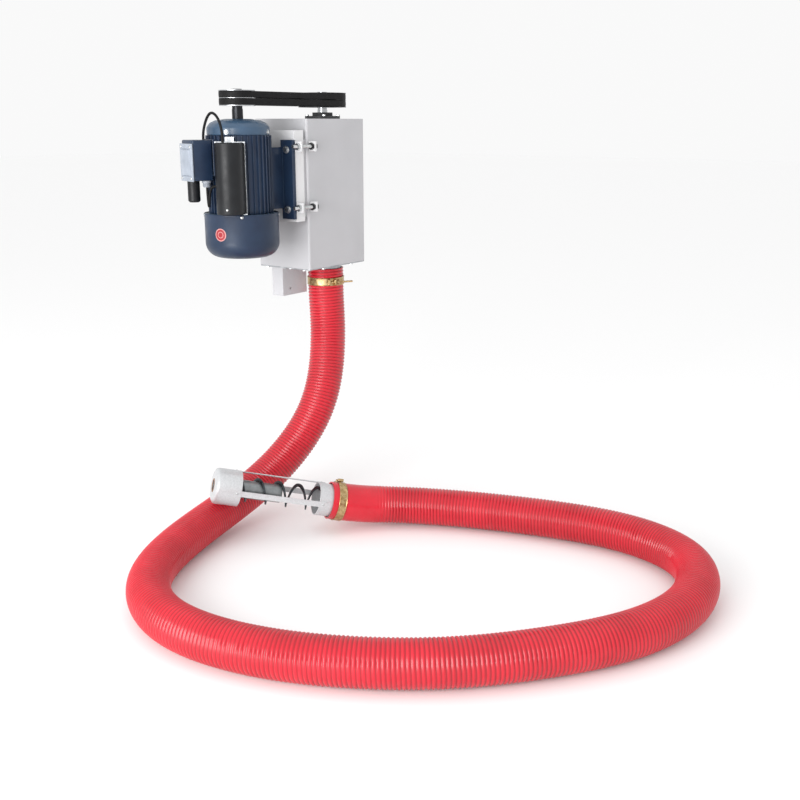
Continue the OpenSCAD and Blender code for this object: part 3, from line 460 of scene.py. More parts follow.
# Galvanised tube and strip of the cage: pale, satin, fine crystals.
CAGE_STEEL = Spangled("cage_steel", "bfc1c3", "cbcdcf", metallic=0.4, roughness=(0.32, 0.46),
                      grain_mm=1.6, relief_mm=0.01, spangle_mm=3)
# Sintered bronze: open grain, oily.
BRONZE = Finish("bronze", "8a5a2c", "a87440", metallic=1.0, roughness=(0.35, 0.5), patch_mm=6,
                grain_mm=0.7, relief_mm=0.03)
# Enamelled copper wire: rounds of wire with a varnish sheen.
COPPER = Turned("copper", "8f4a1e", "b5672f", metallic=0.9, roughness=(0.25, 0.35), ring_mm=1.6,
                relief_mm=0.5, coat=0.3)
# Stacked electrical steel: thin plates, drawn thicker than real so that they show.
LAMINATION = Turned("lamination", "4a4d50", "5d6063", metallic=0.9, roughness=(0.35, 0.5),
                    ring_mm=1.5, relief_mm=0.1)
# Moulded thermoplastic: black with a fine spark-eroded texture.
BLACK_PLASTIC = Finish("black_plastic", "111215", "181a1d", roughness=(0.34, 0.48), patch_mm=35,
                       grain_mm=0.8, relief_mm=0.02, edge_mm=1.0, gloss=0.3)
# Rubber with a wrapped fabric jacket: matt black, slightly grey where it runs.
BLACK_RUBBER = Woven("black_rubber", "0b0b0c", "131314", roughness=(0.5, 0.66), patch_mm=25,
                     relief_mm=0.12, edge_mm=0.5, gloss=0.2)
# Moulded polyamide: mid grey, satin.
GLAND_GREY = Finish("gland_grey", "8b9099", "9ba0a8", roughness=(0.4, 0.5), patch_mm=12,
                    grain_mm=0.8, relief_mm=0.02)
# Drawn aluminium can: pale, finely streaked.
CAN = Finish("can_aluminium", "b6b8ba", "c8cacb", metallic=1.0, roughness=(0.25, 0.35),
             patch_mm=15, grain_mm=0.8, relief_mm=0.01, grain=Grain.UPRIGHT)

PLAIN_FINISHES = (
    BOX_PAINT, CARRIAGE_PAINT, GALVANISED, MOTOR_BLUE, SHIELD_BLUE, LID_GREY, ZINC, BLACK_OXIDE,
    YELLOW_ZINC, GROUND_STEEL, CAST_IRON, PULLEY_BLACK, PULLEY_SILVER, RED_VINYL, SPRING_STEEL,
    CAGE_STEEL, BRONZE, COPPER, LAMINATION, BLACK_PLASTIC, BLACK_RUBBER, GLAND_GREY, CAN,
)


# ---------------------------------------------------------------- mesh helpers


def mesh_piece(name: str, vertices: Iterable[Sequence[float]], faces: Iterable[Sequence[int]],
               smooth_deg: float = 35.0) -> bpy.types.Object:
    """Makes a piece whose place is in its mesh.

    Args:
        name: The piece's name.
        vertices: Points in the part's frame, in metres.
        faces: Corner numbers of each face, anticlockwise from outside.
        smooth_deg: Angle over which an edge stays sharp.

    Returns:
        The new object, linked to the scene at the origin.
    """
    mesh = bpy.data.meshes.new(name)
    mesh.from_pydata([tuple(map(float, v)) for v in vertices], [], [tuple(f) for f in faces])
    mesh.shade_smooth()
    mesh.set_sharp_from_angle(angle=math.radians(smooth_deg))
    piece = bpy.data.objects.new(name, mesh)
    bpy.context.scene.collection.objects.link(piece)
    return piece


def outward(piece: bpy.types.Object) -> bpy.types.Object:
    """Turns a closed piece's faces outwards where its volume reads negative.

    Args:
        piece: A closed piece.

    Returns:
        The same piece.
    """
    mesh = piece.data
    mesh.calc_loop_triangles()
    points = np.empty(len(mesh.vertices) * 3)
    mesh.vertices.foreach_get("co", points)
    points = points.reshape(-1, 3)
    corners = np.array([t.vertices[:] for t in mesh.loop_triangles])
    a, b, c = (points[corners[:, i]] for i in range(3))
    if np.einsum("ij,ij->i", a, np.cross(b, c)).sum() < 0:
        mesh.flip_normals()
    return piece


def ring_faces(rings: int, sides: int, closed: bool) -> list[tuple[int, ...]]:
    """Lists the faces between successive rings of points, with flat caps if it isn't closed.

    Args:
        rings: Number of rings.
        sides: Number of points in each ring.
        closed: Whether the last ring joins the first.

    Returns:
        The corner numbers of each face.
    """
    spans = rings if closed else rings - 1
    faces: list[tuple[int, ...]] = []
    for i in range(spans):
        j = (i + 1) % rings
        for k in range(sides):
            n = (k + 1) % sides
            faces.append((i * sides + k, i * sides + n, j * sides + n, j * sides + k))
    if not closed:
        faces.append(tuple(range(sides - 1, -1, -1)))
        faces.append(tuple((rings - 1) * sides + k for k in range(sides)))
    return faces


def stacked(name: str, rings: np.ndarray, closed: bool = False,
            smooth_deg: float = 35.0) -> bpy.types.Object:
    """Makes a closed piece from rings of points with equal counts.

    Args:
        name: The piece's name.
        rings: Points in metres, by ring, then by place in the ring.
        closed: Whether the last ring joins the first. Flat caps close the ends otherwise.
        smooth_deg: Angle over which an edge stays sharp.

    Returns:
        The piece, with its faces outwards.
    """
    count, sides, _ = rings.shape
    piece = mesh_piece(name, rings.reshape(-1, 3), ring_faces(count, sides, closed), smooth_deg)
    return outward(piece)


def lathe(name: str, profile: Sequence[tuple[float, float]], place: Matrix, segments: int = 96,
          smooth_deg: float = 35.0) -> bpy.types.Object:
    """Turns a closed outline of radius and height, in millimetres, about an axis.

    Args:
        name: The piece's name.
        profile: The outline's corners as radius and height.
        place: The axis, as a matrix whose Z it is.
        segments: Number of steps around.
        smooth_deg: Angle over which an edge stays sharp.

    Returns:
        The closed piece.
    """
    turns = np.arange(segments) * TAU / segments
    radius = np.array([p[0] for p in profile]) * MM
    height = np.array([p[1] for p in profile]) * MM
    rings = np.stack([np.outer(np.cos(turns), radius), np.outer(np.sin(turns), radius),
                      np.broadcast_to(height, (segments, len(profile)))], axis=2)
    piece = stacked(name, rings, closed=True, smooth_deg=smooth_deg)
    piece.data.transform(place)
    return piece


def rounded_corners(outline: Sequence[tuple[float, float]], radius: float,
                    steps: int = 4) -> list[tuple[float, float]]:
    """Rounds every corner of a closed outline by curves through its edges.

    Args:
        outline: Corners in order.
        radius: Length of each edge that a curve takes up, in the outline's unit.
        steps: Number of steps across each corner.

    Returns:
        The points of the rounded outline.
    """
    result: list[tuple[float, float]] = []
    count = len(outline)
    for i, corner in enumerate(outline):
        here = Vector(corner)
        before = Vector(outline[i - 1]) - here
        after = Vector(outline[(i + 1) % count]) - here
        cut = min(radius, before.length * 0.45, after.length * 0.45)
        start, end = here + before.normalized() * cut, here + after.normalized() * cut
        for step in range(steps + 1):
            t = step / steps
            result.append(tuple((1 - t) ** 2 * start + 2 * t * (1 - t) * here + t * t * end))
    return result


def inset_outline(outline: Sequence[tuple[float, float]], inset: float) -> list[tuple[float, float]]:
    """Moves a convex anticlockwise outline inwards by one distance.

    Args:
        outline: Corners in order, anticlockwise.
        inset: Distance to move, in the outline's unit.

    Returns:
        The same number of corners, moved.
    """
    points = [Vector(p) for p in outline]
    moved = []
    for i, here in enumerate(points):
        along = points[(i + 1) % len(points)] - points[i - 1]
        normal = Vector((-along.y, along.x)).normalized()
        moved.append(tuple(here + normal * inset))
    return moved


def prism(name: str, outline: Sequence[tuple[float, float]], low: float, high: float,
          place: Matrix, rim: float = 1.0) -> bpy.types.Object:
    """Raises a convex outline between two levels, with softened rims.

    Args:
        name: The piece's name.
        outline: Corners in the place's own X and Y, anticlockwise, in millimetres.
        low: Lower level.
        high: Upper level.
        place: Where the prism stands.
        rim: Size of the softened edges at both ends.

    Returns:
        The closed piece.
    """
    levels = [(low + rim * (1 - math.cos(a)), rim * (1 - math.sin(a)))
              for a in (0.0, 0.4, 0.8, 1.2, math.pi / 2)]
    levels += [(low + high - z, inset) for z, inset in reversed(levels)]
    rings = np.array([[(x * MM, y * MM, z * MM) for x, y in inset_outline(outline, inset)]
                      for z, inset in levels])
    piece = stacked(name, rings)
    piece.data.transform(place)
    return piece


def slab(name: str, low: Sequence[float], high: Sequence[float], place: Matrix,
         round_mm: float = 2.0, rim_mm: float = 1.0) -> bpy.types.Object:
    """Makes a block between two corners, with rounded upright edges and softened rims."""
    corners = [(low[0], low[1]), (high[0], low[1]), (high[0], high[1]), (low[0], high[1])]
    return prism(name, rounded_corners(corners, round_mm), low[2], high[2], place, rim_mm)


def joined(name: str, parts: Sequence[bpy.types.Object]) -> bpy.types.Object:
    """Joins closed parts into one piece with one mesh.

    Args:
        name: The new piece's name.
        parts: Closed parts, which are removed.

    Returns:
        The new piece.
    """
    vertices: list[tuple[float, ...]] = []
    faces: list[tuple[int, ...]] = []
    for part in parts:
        base = len(vertices)
        vertices.extend(tuple(v.co) for v in part.data.vertices)
        faces.extend(tuple(base + i for i in p.vertices) for p in part.data.polygons)
        discard(part)
    return mesh_piece(name, vertices, faces)


def discard(piece: bpy.types.Object) -> None:
    """Removes a scratch object and its mesh.

    Args:
        piece: The object to remove.
    """
    mesh = piece.data
    bpy.data.objects.remove(piece)
    bpy.data.meshes.remove(mesh)


def carried_frames(line: np.ndarray, start: Sequence[float]) -> tuple[np.ndarray, np.ndarray]:
    """Carries tangents and side directions along a line without twist.

    Args:
        line: Points of the line, one to a row.
        start: First side direction, roughly. It may not lie along the line.

    Returns:
        The tangents and the side directions, one to a row.
    """
    tangent = np.gradient(line, axis=0)
    tangent /= np.linalg.norm(tangent, axis=1, keepdims=True)
    side = np.empty_like(tangent)
    direction = np.array(start, float)
    for i, along in enumerate(tangent):
        direction = direction - along * (direction @ along)
        direction /= np.linalg.norm(direction)
        side[i] = direction
    return tangent, side


def spline(points: Sequence[Sequence[float]], steps: int) -> np.ndarray:
    """Evaluates a uniform cubic B-spline, in the units of its points.

    Args:
        points: Control points in order.
        steps: Number of steps in each span.

    Returns:
        Points along the curve, one to a row.
    """
    control = np.array(points, float)
    rows = []
    for i in range(len(control) - 3):
        for t in np.arange(steps) / steps:
            weights = np.array([(1 - t) ** 3, 3 * t ** 3 - 6 * t * t + 4,
                                -3 * t ** 3 + 3 * t * t + 3 * t + 1, t ** 3]) / 6
            rows.append(weights @ control[i:i + 4])
    rows.append(np.array([1, 4, 1]) @ control[-3:] / 6)
    return np.array(rows)


def run_lengths(line: np.ndarray) -> np.ndarray:
    """Returns the running length at each point of a line."""
    return np.concatenate([[0.0], np.cumsum(np.linalg.norm(np.diff(line, axis=0), axis=1))])


def resampled(line: np.ndarray, count: int) -> np.ndarray:
    """Spaces points evenly along a line.

    Args:
        line: Points of the line, one to a row.
        count: Number of points wanted.

    Returns:
        The points, one to a row.
    """
    marks = run_lengths(line)
    wanted = np.linspace(0, marks[-1], count)
    return np.stack([np.interp(wanted, marks, line[:, k]) for k in range(3)], axis=1)


def around(line: np.ndarray, start: Sequence[float], radius: np.ndarray) -> np.ndarray:
    """Lays rings around a line, with one radius for each point of each ring.

    Args:
        line: Points of the line, one to a row.
        start: Direction of the first spoke, roughly.
        radius: Radius by ring, then by place in the ring, in the line's unit.

    Returns:
        Points by ring, then by place in the ring.
    """
    tangent, side = carried_frames(line, start)
    other = np.cross(tangent, side)
    turns = np.arange(radius.shape[1]) * TAU / radius.shape[1]
    spokes = (side[:, None, :] * np.cos(turns)[None, :, None]
              + other[:, None, :] * np.sin(turns)[None, :, None])
    return line[:, None, :] + spokes * radius[:, :, None]


def upright(x: float, y: float, z: float = 0.0, turn_deg: float = 0.0) -> Matrix:
    """Returns an upright place at a point in metres, turned about Z."""
    return Matrix.Translation((x, y, z)) @ Matrix.Rotation(math.radians(turn_deg), 4, "Z")


def axis_of(node: str) -> tuple[float, float]:
    """Returns the middle of a node's box in X and Y."""
    low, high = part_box(node)
    return (low[0] + high[0]) / 2, (low[1] + high[1]) / 2


# -------------------------------------------------------------- geometry nodes


@dataclass
class NodeTool:
    """A geometry-nodes tree that is run once on a piece and then removed."""

    name: str
    sockets: dict[str, str]
    build: Callable[[bpy.types.NodeTree, bpy.types.Node], bpy.types.NodeSocket]

    def tree(self) -> bpy.types.NodeTree:
        """Builds the tree once, ending in Realize Instances and Set Material.

        Returns:
            The tree.
        """
        if self.name in bpy.data.node_groups:
            return bpy.data.node_groups[self.name]
        tree = bpy.data.node_groups.new(self.name, "GeometryNodeTree")
        face = tree.interface
        face.new_socket("Geometry", in_out="INPUT", socket_type="NodeSocketGeometry")
        for label, kind in self.sockets.items():
            face.new_socket(label, in_out="INPUT", socket_type=kind)
        face.new_socket("Material", in_out="INPUT", socket_type="NodeSocketMaterial")
        face.new_socket("Geometry", in_out="OUTPUT", socket_type="NodeSocketGeometry")
        given = add_node(tree, "NodeGroupInput")
        copies = self.build(tree, given)
        real = add_node(tree, "GeometryNodeRealizeInstances", {"Geometry": copies})
        dressed = add_node(tree, "GeometryNodeSetMaterial", {
            "Geometry": real.outputs["Geometry"], "Material": given.outputs["Material"]})
        add_node(tree, "NodeGroupOutput", {"Geometry": dressed.outputs["Geometry"]})
        return tree

    def run(self, piece: bpy.types.Object, finish: Finish, **values: object) -> bpy.types.Object:
        """Runs the tree on a piece and keeps the result as its plain mesh.

        Args:
            piece: The piece whose mesh goes into the tree.
            finish: The finish that the result wears.
            values: Values of the tree's named inputs.

        Returns:
            The same piece with its new mesh and no modifier.
        """
        modifier = piece.modifiers.new(self.name, "NODES")
        tree = self.tree()
        modifier.node_group = tree
        given = dict(values, Material=finish.material())
        for item in tree.interface.items_tree:
            if item.in_out == "INPUT" and item.name in given:
                modifier[item.identifier] = given[item.name]
        evaluated = piece.evaluated_get(bpy.context.evaluated_depsgraph_get())
        result = bpy.data.meshes.new_from_object(evaluated)
        old = piece.data
        piece.modifiers.remove(modifier)
        piece.data = result
        result.name = piece.name
        bpy.data.meshes.remove(old)
        return piece


def build_ring_copies(tree: bpy.types.NodeTree, given: bpy.types.Node) -> bpy.types.NodeSocket:
    """Copies the geometry around an upright axis at equal turns.

    Args:
        tree: The tree to build in.
        given: The node with the tree's inputs.

    Returns:
        The copies as instances.
    """
    points = add_node(tree, "GeometryNodePoints", {
        "Count": given.outputs["Count"], "Position": given.outputs["Centre"]})
    index = add_node(tree, "GeometryNodeInputIndex").outputs["Index"]
    share = add_node(tree, "ShaderNodeMath", {0: index, 1: given.outputs["Count"]},
                     operation="DIVIDE").outputs["Value"]
    turn = add_node(tree, "ShaderNodeMath", {0: share, 1: TAU}, operation="MULTIPLY")
    euler = add_node(tree, "ShaderNodeCombineXYZ", {"Z": turn.outputs["Value"]})
    rotation = add_node(tree, "FunctionNodeEulerToRotation", {"Euler": euler.outputs["Vector"]})
    return add_node(tree, "GeometryNodeInstanceOnPoints", {
        "Points": points.outputs["Points"], "Instance": given.outputs["Geometry"],
        "Rotation": rotation.outputs["Rotation"]}).outputs["Instances"]


def build_point_copies(tree: bpy.types.NodeTree, given: bpy.types.Node) -> bpy.types.NodeSocket:
    """Stands a template on each point, with its Z along the point's facing attribute.

    Args:
        tree: The tree to build in.
        given: The node with the tree's inputs.

    Returns:
        The copies as instances.
    """
    facing = add_node(tree, "GeometryNodeInputNamedAttribute", {"Name": "facing"},
                      data_type="FLOAT_VECTOR")
    aligned = add_node(tree, "FunctionNodeAlignRotationToVector", {
        "Vector": facing.outputs["Attribute"]}, axis="Z")
    template = add_node(tree, "GeometryNodeObjectInfo", {"Object": given.outputs["Template"]})
    return add_node(tree, "GeometryNodeInstanceOnPoints", {
        "Points": given.outputs["Geometry"], "Instance": template.outputs["Geometry"],
        "Rotation": aligned.outputs["Rotation"]}).outputs["Instances"]


RING_COPIES = NodeTool("ring_copies", {"Count": "NodeSocketInt", "Centre": "NodeSocketVector"},
                       build_ring_copies)
POINT_COPIES = NodeTool("point_copies", {"Template": "NodeSocketObject"}, build_point_copies)


def hex_bolt(radius: float, height: float, shank: float = 0.0, shank_radius: float = 0.0,
             washer: float = 0.0, grip: float = 0.0) -> bpy.types.Object:
    """Makes a bolt template: a chamfered hexagon above z = 0 with a washer under it.

    Args:
        radius: Across the head's corners, halved, in millimetres.
        height: Height of the head.
        shank: Length of the shank below the seat.
        shank_radius: Radius of the shank.
        washer: Radius of the washer, or 0 for none.
        grip: Depth of the nut's seat below the head's, or 0 for no nut.

    Returns:
        The template object.
    """
    sides, thickness = 36, 1.2
    flat = radius * math.cos(math.pi / 6)
    turns = np.arange(sides) * TAU / sides
    hexagon = flat / np.cos((turns + math.pi / 6) % (math.pi / 3) - math.pi / 6)
    base = thickness if washer else 0.0
    levels = [(base, np.minimum(hexagon, radius * 0.97)), (base + 0.5, hexagon),
              (height - 1.2, hexagon), (height - 0.4, np.minimum(hexagon, flat + 0.2)),
              (height, np.full(sides, flat * 0.86))]
    rings = np.array([[(r * math.cos(a), r * math.sin(a), z) for r, a in zip(radii, turns)]
                      for z, radii in levels]) * MM
    parts = [stacked("head", rings)]
    if grip:
        parts.append(stacked("nut", rings * np.array([1, 1, -1]) - np.array([0, 0, grip * MM])))
    if washer:
        inner = max(shank_radius, 1.0)
        parts.append(lathe("washer", rounded_corners([(inner, 0), (washer, 0), (washer, base),
                                                      (inner, base)], 0.3, 2), Matrix(), 32))
    if shank:
        core = np.array([[(shank_radius * math.cos(a), shank_radius * math.sin(a), z)
                          for a in turns] for z in (-shank, 0.6)]) * MM
        parts.append(stacked("shank", core))
    return joined("bolt_template", parts)


def domed_screw(radius: float, height: float) -> bpy.types.Object:
    """Makes a template of a domed screw or rivet head that stands above z = 0.

    Args:
        radius: Radius of the head, in millimetres.
        height: Height of the dome.

    Returns:
        The template object.
    """
    bow = [(radius * math.cos(a), height * math.sin(a)) for a in np.linspace(0, 1.45, 8)]
    turns = np.arange(24) * TAU / 24
    rings = np.array([[(r * math.cos(a), r * math.sin(a), z) for a in turns]
                      for r, z in [(radius, -0.2), *bow]]) * MM
    return stacked("screw_template", rings)


def stand_on(name: str, template: bpy.types.Object,
             spots: Sequence[tuple[Sequence[float], Sequence[float]]], finish: Finish) -> bpy.types.Object:
    """Stands copies of a template on spots.

    Args:
        name: The new piece's name.
        template: A template that stands above z = 0, which is removed.
        spots: A place in metres and a facing direction for each copy.
        finish: The finish that the copies wear.

    Returns:
        One piece with all the copies.
    """
    mesh = bpy.data.meshes.new(name)
    mesh.from_pydata([tuple(place) for place, _ in spots], [], [])
    facing = mesh.attributes.new("facing", "FLOAT_VECTOR", "POINT")
    for row, (_, direction) in zip(facing.data, spots):
        row.vector = Vector(direction).normalized()
    piece = bpy.data.objects.new(name, mesh)
    bpy.context.scene.collection.objects.link(piece)
    POINT_COPIES.run(piece, finish, Template=template)
    discard(template)
    piece.data.shade_smooth()
    piece.data.set_sharp_from_angle(angle=math.radians(30))
    return piece


def spot_on(place: Matrix, x: float, y: float, z: float) -> tuple[Vector, Vector]:
    """Returns a spot at a point in a place's own millimetres, facing along its X."""
    return place @ Vector((x * MM, y * MM, z * MM)), place.to_3x3() @ Vector((1, 0, 0))


def settle(piece: bpy.types.Object, body: str, finish: Finish, *nodes: str) -> bpy.types.Object:
    """Dresses a piece, fixes it to a body and lets it stand for CAD nodes.

    Args:
        piece: The piece to settle.
        body: The body that it rides on.
        finish: The finish that it wears.
        nodes: Names of the CAD nodes that it stands for, if any.

    Returns:
        The same piece.
    """
    finish.wear(piece)
    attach(piece, body)
    if nodes:
        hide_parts(*nodes)
    LOG.info("%s on %s: %d faces", piece.name, body, len(piece.data.polygons))
    return piece


# ---------------------------------------------------------------------- studio


@dataclass
class Studio:
    """A pale floor, soft lights and the camera."""

    camera_place: Point = (-2.4586, -2.0213, 0.2030)
    camera_aim: Point = (0.7794, 0.5663, -0.2679)
    lens: float = 45.0
    sensor: float = 36.0
    farthest: float = 200.0
    floor_size: float = 60.0
    floor_gap: float = 0.0005
    paper: str = "f7f7f7"
    paper_roughness: float = 0.9
    paper_gloss: float = 0.1
    sky_white: str = "ffffff"
    sky: float = 0.95
    overhead: float = 0.2
    overhead_deg: float = 60.0
    key_place: Point = (-4.0, -0.7, 0.35)
    key_aim: Point = (-0.3, -0.2, -0.1)
    key_size: float = 2.4
    key_watts: float = 135.0

    def build(self) -> None:
        """Builds the camera first, then the floor and the lights."""
        self.camera()
        self.floor()
        self.lights()

    def camera(self) -> None:
        """Places the camera and makes it the scene's own."""
        data = bpy.data.cameras.new("camera")
        data.lens = self.lens
        data.sensor_width = self.sensor
        data.clip_end = self.farthest
        camera = bpy.data.objects.new("camera", data)
        bpy.context.scene.collection.objects.link(camera)
        camera.location = self.camera_place
        camera.rotation_euler = Vector(self.camera_aim).to_track_quat("-Z", "Y").to_euler()
        bpy.context.scene.camera = camera

    def floor(self) -> None:
        """Lays the floor just under the hose."""
        half = self.floor_size / 2
        z = CAD_BOX[0][2] - self.floor_gap
        floor = mesh_piece("studio_floor", [(-half, -half, z), (half, -half, z), (half, half, z),
                                            (-half, half, z)], [(0, 1, 2, 3)])
        material = bpy.data.materials.new("studio_paper")
        material.use_nodes = True
        surface = material.node_tree.nodes["Principled BSDF"]
        surface.inputs["Base Color"].default_value = linear(self.paper)
        surface.inputs["Roughness"].default_value = self.paper_roughness
        surface.inputs["Specular IOR Level"].default_value = self.paper_gloss
        floor.data.materials.append(material)
        floor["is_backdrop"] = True

    def lights(self) -> None:
        """Sets a soft sky, a broad overhead light and a large key light on the motor's side."""
        world = bpy.data.worlds.new("studio_sky")
        world.use_nodes = True
        sky = world.node_tree.nodes["Background"]
        sky.inputs["Color"].default_value = linear(self.sky_white)
        sky.inputs["Strength"].default_value = self.sky
        bpy.context.scene.world = world
        data = bpy.data.lights.new("overhead", "SUN")
        data.energy = self.overhead
        data.angle = math.radians(self.overhead_deg)
        bpy.context.scene.collection.objects.link(bpy.data.objects.new("overhead", data))
        data = bpy.data.lights.new("key", "AREA")
        data.size = self.key_size
        data.energy = self.key_watts
        lamp = bpy.data.objects.new("key", data)
        bpy.context.scene.collection.objects.link(lamp)
        lamp.location = self.key_place
        aim = Vector(self.key_aim) - lamp.location
        lamp.rotation_euler = aim.to_track_quat("-Z", "Y").to_euler()


# ------------------------------------------------------------------------ hose


@dataclass
class SuctionHose:
    """The ribbed suction hose on its rest route, with a smooth cuff at the cage."""

    route_mm: tuple[Point, ...] = (
        (-90, -15, -130), (-90, -15, -230), (-90, -15, -330), (-90, -25, -450),
        (-180, -70, -660), (-340, 0, -840), (-550, 20, -905), (-780, -40, -910),
        (-990, -150, -910), (-1100, -350, -910), (-1080, -590, -910), (-990, -800, -910),
        (-860, -990, -910), (-690, -1140, -910), (-500, -1270, -910), (-270, -1320, -910),
        (-40, -1240, -910), (40, -1020, -910), (0, -790, -910), (-80, -550, -910),
        (-180, -370, -905), (-270, -290, -895), (-350, -230, -870), (-430, -170, -845),
    )
    outer: float = 110.0
    inner: float = 100.4
    rib_pitch: float = 10.0
    rib_depth: float = 2.6
    rings_per_rib: int = 5
    sides: int = 36
    fold_power: float = 1.6
    cuff: float = 130.0
    cuff_fade: float = 60.0
    cuff_relief: float = 0.12
    steps_per_point: int = 40
    bore_rings: int = 110
    rings_per_mark: int = 4
    pipe_outer: float = 47.7
    pipe_inner: float = 44.7
    collar_behind: float = 48.0
    collar_ahead: float = 40.0
    line: np.ndarray = field(init=False)
    length: float = field(init=False)
    path: list[Point] = field(init=False)
    pieces: list[bpy.types.Object] = field(init=False)

    def __post_init__(self) -> None:
        """Works out the centre line in metres."""
        self.line = spline(self.route_mm, self.steps_per_point) * MM
        self.length = float(run_lengths(self.line)[-1])

    def folds(self, line: np.ndarray) -> np.ndarray:
        """Works out how deep each point of the hose's rings lies in a fold.

        Args:
            line: The rings' centres, in metres.

        Returns:
            Depth by ring, then by place in the ring, from 0 on a crest to 1.
        """
        marks = run_lengths(line) / MM
        phase = marks[:, None] / self.rib_pitch - np.arange(self.sides)[None, :] / self.sides
        valley = (0.5 - 0.5 * np.cos(TAU * phase)) ** self.fold_power
        ease = np.clip((marks[-1] - marks - self.cuff) / self.cuff_fade, 0.0, 1.0)
        return valley * (self.cuff_relief + (1 - self.cuff_relief) * ease[:, None])

    def build(self) -> None:
        """Builds the hose and its collar, and fixes both to the housing."""
        outside = resampled(self.line, int(self.length / MM / self.rib_pitch * self.rings_per_rib))
        fold = self.folds(outside)
        skin = around(outside, (1, 0, 0), (self.outer / 2 - self.rib_depth * fold) * MM)
        inside = resampled(self.line, self.bore_rings)
        bore = around(inside, (1, 0, 0), np.full((self.bore_rings, self.sides), self.inner / 2 * MM))
        rings = np.concatenate([skin, bore[::-1]])
        hose = stacked("suction_hose", rings, closed=True, smooth_deg=60)
        self.path = [tuple(p) for p in outside[::self.rings_per_mark]] + [tuple(outside[-1])]
        # The fold depth also sets the vinyl's painted shade; the bore counts as deep in a fold, so it gets
        # the full painted shade.
        mark = hose.data.attributes.new("fold", "FLOAT", "POINT")
        depth = np.concatenate([fold.ravel(), np.ones(self.bore_rings * self.sides)])
        mark.data.foreach_set("value", depth.astype(np.float32))
        self.pieces = [settle(hose, "housing", RED_VINYL, "hose"), self.collar()]

    def place_at_end(self) -> Matrix:
        """Finds the place of the hose's far end.

        Returns:
            The place, with Z straight on along the hose.
        """
        route = np.array(self.route_mm, float)
        axis = Vector(route[-1] - route[-3]).normalized()
        turn = Matrix.Rotation(math.atan2(axis.y, axis.x), 4, "Z") @ Matrix.Rotation(
            math.acos(axis.z), 4, "Y")
        return Matrix.Translation(self.line[-1]) @ turn

    def collar(self) -> bpy.types.Object:
        """Builds the steel collar that the hose is clamped on.

        Returns:
            The collar.
        """
        a, b, start, end = self.pipe_inner, self.pipe_outer, -self.collar_behind, self.collar_ahead
        profile = [(a, start), (b, start), (b, end - 4), (b + 0.8, end - 2), (b + 0.8, end), (a, end)]
        collar = lathe("intake_collar", rounded_corners(profile[::-1], 0.8, 3), self.place_at_end(), 96)
        return settle(collar, "housing", CAGE_STEEL, "cage_collar")


def threaded(name: str, start: Sequence[float], end: Sequence[float], radius: float,
             pitch: float) -> bpy.types.Object:
    """Makes a threaded rod between two points.

    Args:
        name: The rod's name.
        start: One end, in metres.
        end: The other end, in metres.
        radius: Radius over the crests, in millimetres.
        pitch: Rise of the thread in one turn, in millimetres.

    Returns:
        The closed rod.
    """
    ends = np.array([start, end], float)
    length = float(np.linalg.norm(ends[1] - ends[0])) / MM
    rings_per_turn, sides = 5, 20
    line = resampled(ends, int(length / pitch * rings_per_turn))
    marks = run_lengths(line) / MM
    phase = marks[:, None] / pitch - np.arange(sides)[None, :] / sides
    depth = (0.5 - 0.5 * np.cos(TAU * phase)) * pitch * 0.5
    return stacked(name, around(line, (0.1, 0.2, 1), (radius - depth) * MM), smooth_deg=60)


# ------------------------------------------------------------------ belt drive


@dataclass
class BeltDrive:
    """Two wedge belts round both pulleys."""

    width: float = 17.0
    depth: float = 11.0
    flank_deg: float = 17.0
    motor_radius: float = 48.5
    driven_radius: float = 70.0
    arc_steps: int = 56
    span_steps: int = 30

    def section(self) -> list[tuple[float, float]]:
        """Works out the belt's wedge, with a crowned back.

        Returns:
            Corners as outward offset and height, in millimetres.
        """
        top = self.width / 2
        low = top - self.depth * math.tan(math.radians(self.flank_deg))
        wedge = [(-0.5, -top), (0.0, -top * 0.4), (0.0, top * 0.4), (-0.5, top),
                 (-self.depth, low), (-self.depth, -low)]
        return rounded_corners(wedge, 1.0, 2)

    def stations(self) -> list[tuple[float, float, float]]:
        """Walks once round the belt's back, over both pulleys and both spans.

        Returns:
            Places in millimetres, each with its outward angle in radians.
        """
        drive_x, drive_y = (c / MM for c in axis_of("drive_shaft"))
        motor_x, _ = (c / MM for c in axis_of("motor_shaft"))
        lean = math.asin((self.driven_radius - self.motor_radius) / (drive_x - motor_x))
        quarter = math.pi / 2
        driven = [(drive_x, self.driven_radius, a) for a in
                  np.linspace(-quarter - lean, quarter + lean, self.arc_steps)]
        motor = [(motor_x, self.motor_radius, a) for a in
                 np.linspace(quarter + lean, 3 * quarter - lean, self.arc_steps)]
        arcs = [[(x + r * math.cos(a), drive_y + r * math.sin(a), a) for x, r, a in arc]
                for arc in (driven, motor)]
        result: list[tuple[float, float, float]] = []
        for arc, follower in ((arcs[0], arcs[1]), (arcs[1], arcs[0])):
            result.extend(arc)
            last, first = np.array(arc[-1]), np.array(follower[0])
            first[2] = last[2]
            result.extend(tuple(last + (first - last) * t)
                          for t in np.linspace(0, 1, self.span_steps + 2)[1:-1])
        return result

    def build(self) -> bpy.types.Object:
        """Builds both belts as one piece between the head and the motor carriage.

        Returns:
            The pair of belts.
        """
        low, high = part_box("v_belts")
        belts = []
        for z in (low[2] / MM + self.width / 2, high[2] / MM - self.width / 2):
            rings = np.array([[((x + u * math.cos(a)) * MM, (y + u * math.sin(a)) * MM, (z + dz) * MM)
                               for u, dz in self.section()] for x, y, a in self.stations()])
            belts.append(stacked("belt", rings, closed=True))
        pair = joined("wedge_belts", belts)
        BLACK_RUBBER.wear(pair)
        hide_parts("v_belts")
        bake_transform(pair)
        LOG.info("%s between housing and carriage", pair.name)
        return pair


# ----------------------------------------------------------------------- motor


